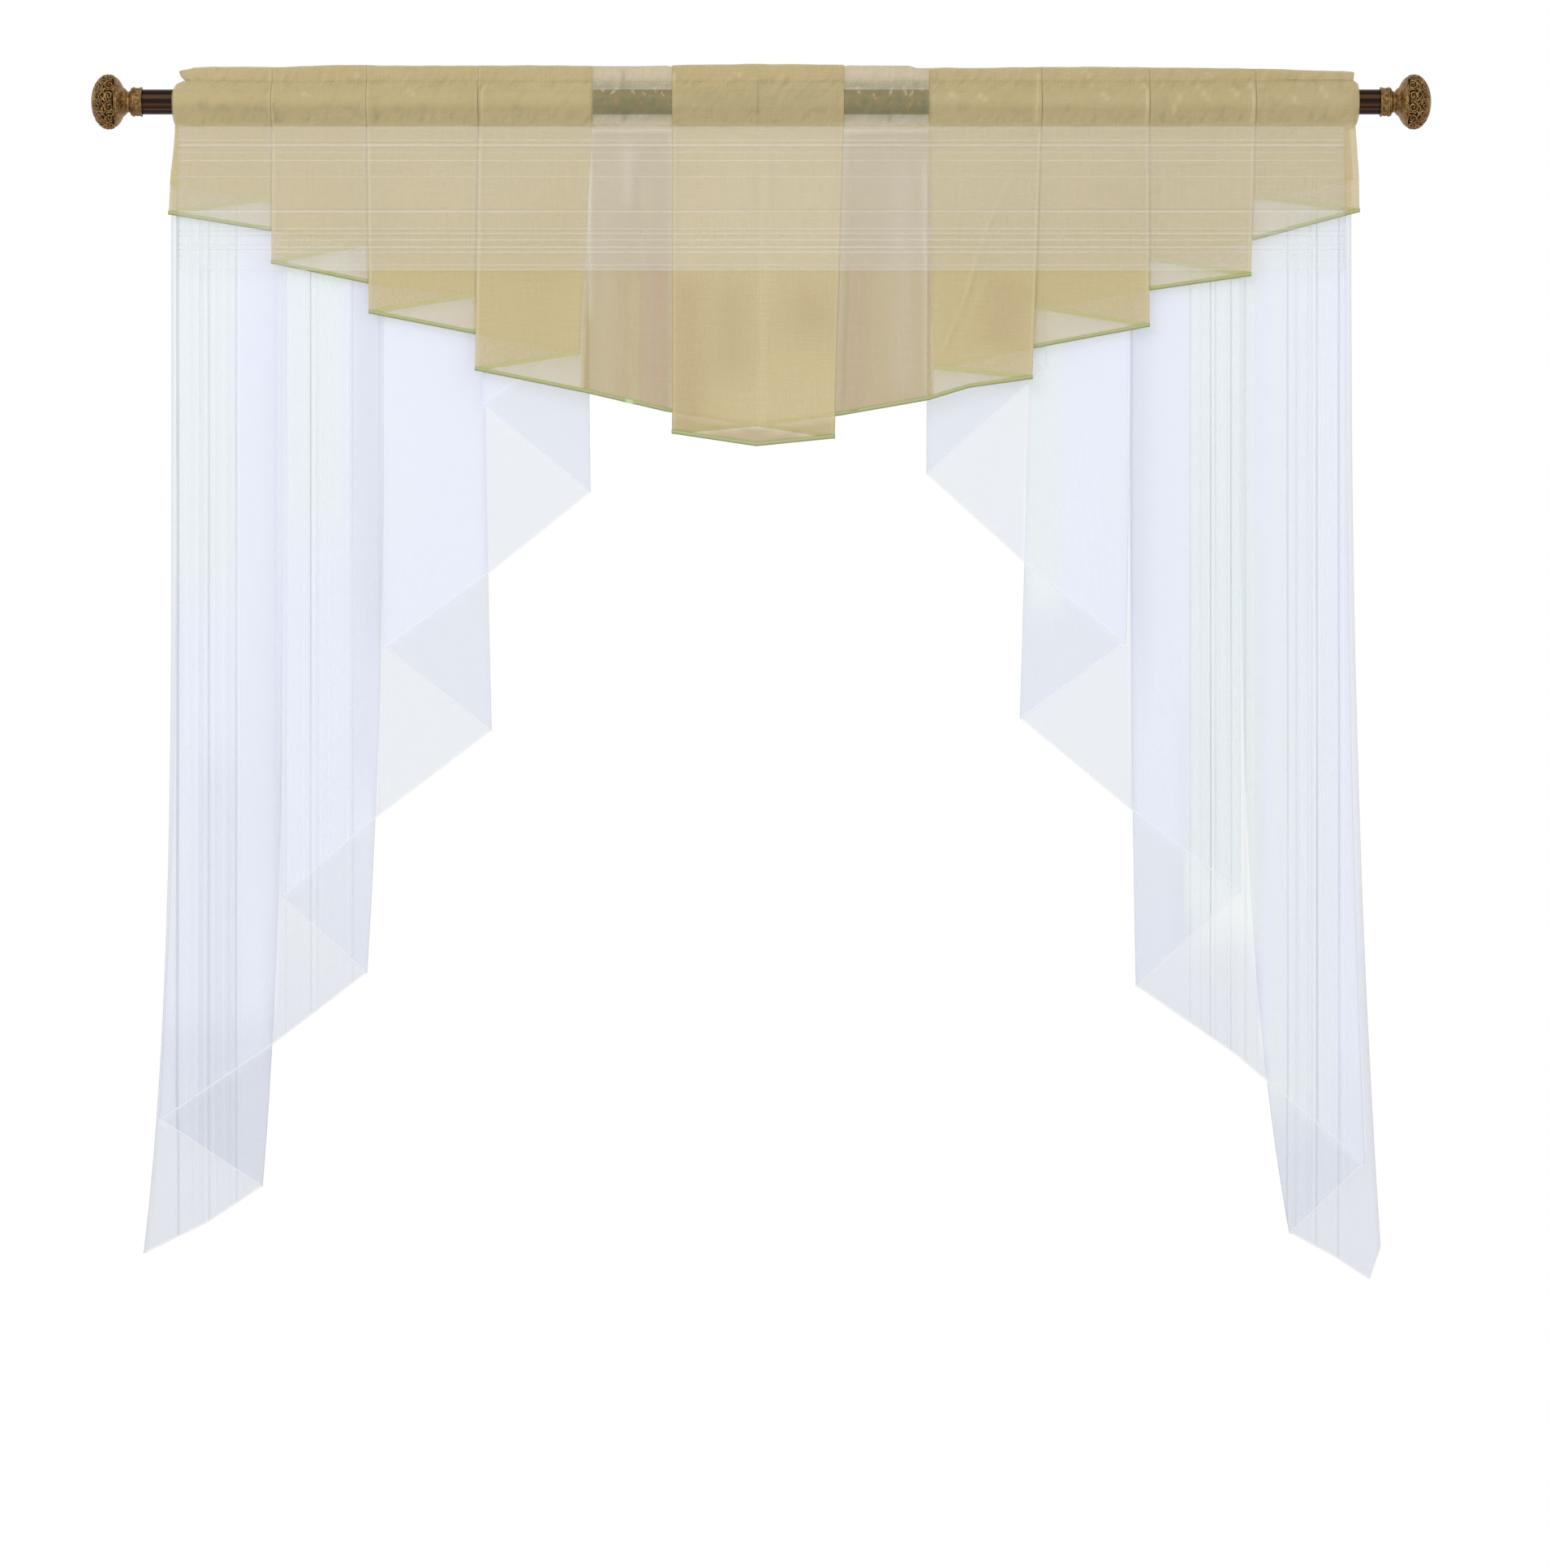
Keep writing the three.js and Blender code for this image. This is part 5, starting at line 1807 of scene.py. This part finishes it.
@dataclass
class CastOrnament:
    """Small raised shapes in brass, modelled flat and then bent onto a turned body.

    Flat places are (along, around) in millimetres from the motif's middle.
    """

    strand: float = 0.95
    sides: int = 2

    def strands(self, name: str, routes: Sequence[Sequence[Triple]]) -> Piece:
        """Make round strands along routes of along, around and thickness share."""
        curve = bpy.data.curves.new(name, "CURVE")
        curve.dimensions = "3D"
        curve.bevel_depth = self.strand * MM
        curve.bevel_resolution = self.sides
        curve.use_fill_caps = True
        for route in routes:
            spline = curve.splines.new("POLY")
            spline.points.add(len(route) - 1)
            for point, (along, around, share) in zip(spline.points, route):
                point.co = (along * MM, around * MM, 0, 1)
                point.radius = share
        select_only(placed(name, curve))
        bpy.ops.object.convert(target="MESH")
        return added(name)

    @staticmethod
    def volute(
        centre: Pair, radius: float, start: float, turns: float, steps: int = 22
    ) -> list[Triple]:
        """A scroll that winds in to its eye, thickest half way along and beaded at its end."""
        route = []
        for i in range(steps + 1):
            share = i / steps
            angle = math.radians(start) + math.tau * turns * share
            reach = radius * (1 - 0.82 * share)
            thick = 0.75 + 0.45 * math.sin(math.pi * share) + (0.5 if i == steps else 0)
            route.append((centre[0] + reach * math.cos(angle), centre[1] + reach * math.sin(angle), thick))
        return route

    @staticmethod
    def leaf(along: float, around: float, length: float, width: float, turn: float) -> Piece:
        """A pointed leaf with a raised rib, its middle at a flat place."""
        piece = ball("leaf", (10, 7), 0.5, (length, width, 1.9))
        with editing(piece) as mesh:
            pick(piece, mesh, lambda place: place.x > 0.18 * length * MM)
            bpy.ops.transform.resize(value=(1.15, 0.45, 0.7), center_override=(0.18 * length * MM, 0, 0))
            pick(piece, mesh, lambda place: abs(place.y) < 0.08 * width * MM and place.z > 0)
            bpy.ops.transform.translate(value=(0, 0, 0.35 * MM))
        piece.data.transform(Matrix.Rotation(math.radians(turn), 4, "Z"))
        piece.data.transform(Matrix.Translation((along * MM, around * MM, 0)))
        return piece

    def flower(self, along: float, around: float, radius: float, petals: int = 5) -> list[Piece]:
        """A round flower of overlapping petals about a bead."""
        pieces = []
        for i in range(petals):
            turn = 360 / petals * i + 18
            reach = 0.58 * radius
            angle = math.radians(turn)
            place = (along + reach * math.cos(angle), around + reach * math.sin(angle))
            pieces.append(self.leaf(*place, length=-1.05 * radius, width=0.8 * radius, turn=turn))
        bead = ball("bead", (10, 6), 0.24 * radius, (1, 1, 0.8))
        bead.data.transform(Matrix.Translation((along * MM, around * MM, 0.6 * MM)))
        return [*pieces, bead]

    @staticmethod
    def bend(piece: Piece, place: Callable[[float, float, float], Vector]) -> None:
        """Bend a flat motif onto a body, by a function of along, around and height in millimetres."""
        for vert in piece.data.vertices:
            vert.co = place(*(value / MM for value in vert.co)) * MM


@dataclass
class RodEnd:
    """Collar and finial of one end of the rod. side is -1 on the left and 1 on the right."""

    side: int
    ring_sides: int = 64
    start: float = 793.0
    seat: float = 805.0
    rim: float = 19.0
    rim_width: float = 2.4
    waist: float = 17.4
    chamfer: float = 0.6
    flange: float = 18.0
    centre: float = 836.3
    half_length: float = 22.2
    radius: float = 35.4
    cup_end: float = 58.0  # turn along the oval where the neck's cup ends and the pierced work begins
    button_start: float = 147.0
    core_inset: float = 3.2
    motifs: int = 7
    florets: int = 9
    motif_turn: float = 104.0  # turn along the oval of a motif's middle
    motif_bend: float = 27.0  # radius over which a motif bends along the oval
    motif_squeeze: float = 0.92  # the same round the axis, as a share of the oval's radius
    motif_sink: float = 1.1  # how deep a motif's middle plane lies in the oval
    florets_flat: float = 0.55  # how far a floret's relief is pressed flat
    throat: tuple[Pair, ...] = (  # distance from the seat and radius of the neck
        (2.6, 16.2), (3.6, 14.6), (4.6, 13.6), (5.6, 13.3), (6.6, 13.6), (7.6, 14.5), (9.6, 16.9),
    )

    def oval(self, turn: float, inset: float = 0.0) -> Pair:
        """Distance along the rod and radius at a turn along the oval, drawn in by an inset."""
        angle = math.radians(turn)
        along = self.centre - (self.half_length - inset) * math.cos(angle)
        return along, (self.radius - inset) * math.sin(angle)

    def on_oval(self, along: float, around: float, height: float) -> Vector:
        """Place of a flat motif's point on the oval."""
        turn = self.motif_turn + math.degrees(along / self.motif_bend)
        x, radius = self.oval(turn, self.motif_sink - height)
        angle = around / (self.radius * self.motif_squeeze)
        return Vector((x, -radius * math.cos(angle), radius * math.sin(angle)))

    def on_collar(self, along: float, around: float, height: float) -> Vector:
        """Place of a flat motif's point on the collar's waist."""
        radius = self.waist + 0.1 + height
        angle = around / self.waist
        middle = (self.start + self.seat) / 2
        return Vector((middle + along, -radius * math.cos(angle), radius * math.sin(angle)))

    def scrollwork(self) -> Piece:
        """One motif of the pierced work: a flower, four scrolls, tendrils and leaves."""
        kit = CastOrnament()
        routes = [
            kit.volute((9.5, 6.8), 7.0, 200, 1.5),
            kit.volute((9.0, -8.0), 6.2, 110, -1.35),
            kit.volute((-11.5, 7.8), 6.6, 40, -1.4),
            kit.volute((-11.0, -7.5), 6.0, 300, 1.4),
            [(2.6, 4.4, 1), (-1.6, 9, 1.1), (-5.6, 12.6, 1), (-11, 14.4, 0.8)],
            [(-5.2, 2.8, 1), (-1.5, 12, 0.9), (4, 15, 0.9), (11, 14, 1), (16.5, 10.5, 0.8)],
            [(6.9, -2.2, 1), (2, -8.5, 1.1), (-3, -13, 1), (-9, -14.5, 0.9)],
            [(-5.5, -4, 1), (-2.5, -11, 0.9), (4, -15.5, 0.9), (13, -14, 0.8)],
            [(-19.5, -16, 1.2), (-18.6, -6, 1.2), (-18.4, 0, 1.2), (-18.6, 6, 1.2), (-19.5, 16, 1.2)],
            [(-18.4, 0, 1.1), (-13, 1, 0.9), (-7, 0, 0.9)],
            [(7, 0, 0.9), (12, -1, 0.9), (19, 0, 1.1)],
        ]
        parts = [kit.strands("scrolls", routes), *kit.flower(0.0, 0.0, 6.4)]
        leaves = [
            (15.5, -2.5, 7, 3.4, 150), (3.5, 12, 7, 3.2, 60), (-5, 9.5, 6, 3, 110),
            (-4.5, -9, 6, 3, -120), (4.5, -13, 6.5, 3, -50), (-16, 3.5, 5.5, 2.8, 30),
            (-16, -3.8, 5.5, 2.8, -35), (14.5, 13, 6, 3, 20), (-12.5, 15.5, 6, 3, 175),
        ]
        parts += [kit.leaf(*row) for row in leaves]
        motif = join("scrollwork", parts)
        kit.bend(motif, self.on_oval)
        return motif

    def floret(self) -> Piece:
        """One motif of the collar: a ringed bead between crossed leaves."""
        kit = CastOrnament(strand=0.42)
        ring = [(1.9 * math.cos(a), 1.9 * math.sin(a), 1.0) for a in np.linspace(0, math.tau, 15)]
        cross = [
            [(-3, 2.6, 0.9), (0, 4.6, 1.3), (3, 7.6, 0.9)],
            [(3, 2.6, 0.9), (0, 5.6, 1.3), (-3, 7.6, 0.9)],
        ]
        parts = [kit.strands("rings", [ring, *cross])]
        parts += kit.flower(0.0, 0.0, 1.7, petals=4)
        parts += [kit.leaf(2.2, 5.2, 3.4, 1.5, 60), kit.leaf(-2.2, 5.2, 3.4, 1.5, 120)]
        motif = join("floret", parts)
        for vert in motif.data.vertices:
            vert.co.z *= self.florets_flat
        kit.bend(motif, self.on_collar)
        return motif

    def around(self, motif: Piece, count: int, start: float) -> list[Piece]:
        """Copy a raised motif round the rod's axis, a turn of start degrees up from the front."""
        set_raised(motif, 1.0)
        copies = []
        for i in range(count):
            turn = Matrix.Rotation(math.radians(-(start + 360 / count * i)), 4, "X")
            copies.append(twin(motif, f"{motif.name}_{i}", turn))
        bpy.data.objects.remove(motif)
        return copies

    def place(self, name: str, parts: list[Piece]) -> Piece:
        """Join the parts, mirror them for the left end and give them their finish."""
        node = name + ("_left" if self.side < 0 else "_right")
        piece = join("rod_" + node, parts)
        if self.side < 0:
            piece.data.transform(Matrix.Scale(-1, 4, (1, 0, 0)))
            with editing(piece, "SELECT"):
                bpy.ops.mesh.normals_make_consistent(inside=False)
        piece.data.materials.clear()
        piece.data.materials.append(ANTIQUE_BRASS.material())
        return stand_for(piece, node)

    def build_collar(self) -> Piece:
        """Ring with two rims and a band of florets between them."""
        start, end, rim, waist, cut = self.start, self.seat, self.rim, self.waist, self.chamfer
        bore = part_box("rod")[1][2] / MM + 0.3
        inner_left, inner_right = start + self.rim_width, end - self.rim_width
        ring = turned(
            "collar_ring",
            [
                (start, bore), (start, rim - cut), (start + 0.2 * cut, rim - 0.3 * cut), (start + cut, rim),
                (inner_left - cut, rim), (inner_left - 0.2 * cut, rim - 0.3 * cut), (inner_left, waist),
                (inner_right, waist), (inner_right + 0.2 * cut, rim - 0.3 * cut), (inner_right + cut, rim),
                (end - cut, rim), (end - 0.2 * cut, rim - 0.3 * cut), (end, rim - cut), (end, bore),
            ],
            self.ring_sides,
            raised=0.75,
            closed=True,
        )
        florets = self.around(self.floret(), self.florets, start=24)
        return self.place("collar", [ring, *florets])

    def build_finial(self) -> Piece:
        """Neck, smooth cup and button of the oval, a core painted dark as shade, and seven motifs of
        pierced work.
        """
        spigot_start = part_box("rod")[1][0] / MM + 0.3
        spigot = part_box("rod")[1][2] / MM - 0.2
        seat, flange = self.seat, self.flange
        cup = [self.oval(turn) for turn in np.linspace(32, self.cup_end, 7)]
        lip = [self.oval(self.cup_end + 3.0, 0.5), self.oval(self.cup_end + 4.0, 2.4), self.oval(50, 3.2)]
        neck = turned(
            "neck",
            [
                (spigot_start, spigot - 2), (spigot_start, spigot), (seat + 0.3, spigot),
                (seat + 0.3, flange - 0.5), (seat + 0.7, flange), (seat + 1.7, flange),
                (seat + 2.2, flange - 0.7), *[(seat + along, radius) for along, radius in self.throat],
                *cup,
                *lip,
                (self.centre - 6, 24.0),
            ],
            self.ring_sides,
            raised=0.9,
        )
        edge, turns = self.oval(self.button_start - 4, 3.0), np.linspace(self.button_start, 179.0, 6)
        button = turned("button", [edge, *map(self.oval, turns)], self.ring_sides, raised=0.85)
        inside = [self.oval(turn, self.core_inset) for turn in np.linspace(24, 176, 20)]
        # the core is painted dark by the finish, as the shade inside the pierced work
        core = turned("core", inside, self.ring_sides, raised=0.0)
        motifs = self.around(self.scrollwork(), self.motifs, start=21)
        return self.place("finial", [neck, button, core, *motifs])


# ---------------- studio


@dataclass
class Studio:
    """Camera, lamps, white surround and pale floor."""

    lens: float = 150.0
    sensor: float = 36.0
    view_height: float = 2.0093
    centre: Pair = (0.0177, -0.874)
    floor_height: float = -1.95
    floor_back: float = 0.5
    floor_front: float = -2.6
    floor_half: float = 1.9
    surround: float = 0.66  # strength of the surround as a light
    aim: Triple = (0, 0, -0.7)  # where the lamps point
    bounces: int = 96  # layers of sheer cloth that a ray may pass

    def build(self) -> None:
        """Set up the camera, the lamps, the surround and the floor."""
        self.build_camera()
        self.build_lamp("key", (-1.9, -3.4, 1.3), 2.6, 53.0)
        self.build_lamp("fill", (2.3, -3.2, 0.1), 2.4, 20.0)
        self.build_surround()
        self.build_floor()
        scene = bpy.context.scene
        scene.view_settings.view_transform = "Standard"
        scene.cycles.transparent_max_bounces = self.bounces

    def build_camera(self) -> None:
        """Look straight at the curtain from the front, with a long lens."""
        data = bpy.data.cameras.new("front_view")
        data.lens = self.lens
        data.sensor_width = self.sensor
        camera = placed("front_view", data)
        distance = self.view_height * self.lens / self.sensor
        camera.location = (self.centre[0], -distance, self.centre[1])
        camera.rotation_euler = (math.pi / 2, 0, 0)
        bpy.context.scene.camera = camera

    def build_lamp(self, name: str, place: Triple, size: float, power: float) -> None:
        """Add a soft square lamp that faces the middle of the curtain."""
        data = bpy.data.lights.new(name, "AREA")
        data.size = size
        data.energy = power
        lamp = placed(name, data)
        lamp.location = place
        aim = Vector(self.aim) - Vector(place)
        lamp.rotation_euler = aim.to_track_quat("-Z", "Y").to_euler()

    def build_surround(self) -> None:
        """White behind the object and in its reflections, softer as a light."""
        world = bpy.data.worlds.new("surround")
        shading = Shading(world)
        rays = shading.node("LightPath")
        seen = rays["Is Camera Ray"].larger(rays["Is Glossy Ray"]).larger(rays["Is Transmission Ray"])
        light, shown = (
            shading.node("Background", None, {"Color": (1, 1, 1, 1), "Strength": strength})["Background"]
            for strength in (self.surround, 1.0)
        )
        mixed = shading.node("MixShader", None, {0: seen, 1: light, 2: shown})["Shader"]
        shading.node("OutputWorld", None, {"Surface": mixed})
        bpy.context.scene.world = world

    def build_floor(self) -> None:
        """Pale floor below the curtain."""
        bpy.ops.mesh.primitive_plane_add(size=2, location=(0, 0, self.floor_height))
        floor = added("floor")
        with editing(floor, "SELECT"):
            depth = (self.floor_back - self.floor_front) / 2
            bpy.ops.transform.resize(value=(self.floor_half, depth, 1))
            bpy.ops.transform.translate(value=(0, (self.floor_back + self.floor_front) / 2, 0))
        floor.data.materials.append(PALE_FLOOR.material())


# ---------------- the set


def report(piece: Piece) -> None:
    """Log a piece's name and how fine its mesh is."""
    triangles = sum(len(face.vertices) - 2 for face in piece.data.polygons)
    LOG.info("%s: %d triangles", piece.name, triangles)


def main() -> None:
    """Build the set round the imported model."""
    logging.basicConfig(level=logging.INFO, format="%(name)s %(message)s")
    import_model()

    Studio().build()
    valance = Valance()
    cloths = {"valance": valance.build()}
    cloths["binding"] = HemBinding(valance).build()
    cloths["stitches"] = PocketStitches(valance).build(cloths["valance"])
    cloths["band"] = VoileBand(valance).build()
    for side, *setting in (
        ("left", LEFT_CASCADE, LEFT_STRETCHES, LEFT_VOILE, 21.5),
        ("right", RIGHT_CASCADE, RIGHT_STRETCHES, RIGHT_VOILE, 33.5),
    ):
        cloths[side] = SidePanel(valance, side, *setting).build()
    pieces = [*cloths.values(), Rod().build()]
    for side in (-1, 1):
        end = RodEnd(side)
        pieces += [end.build_collar(), end.build_finial()]
    for piece in pieces:
        report(piece)


if __name__ == "__main__":
    main()
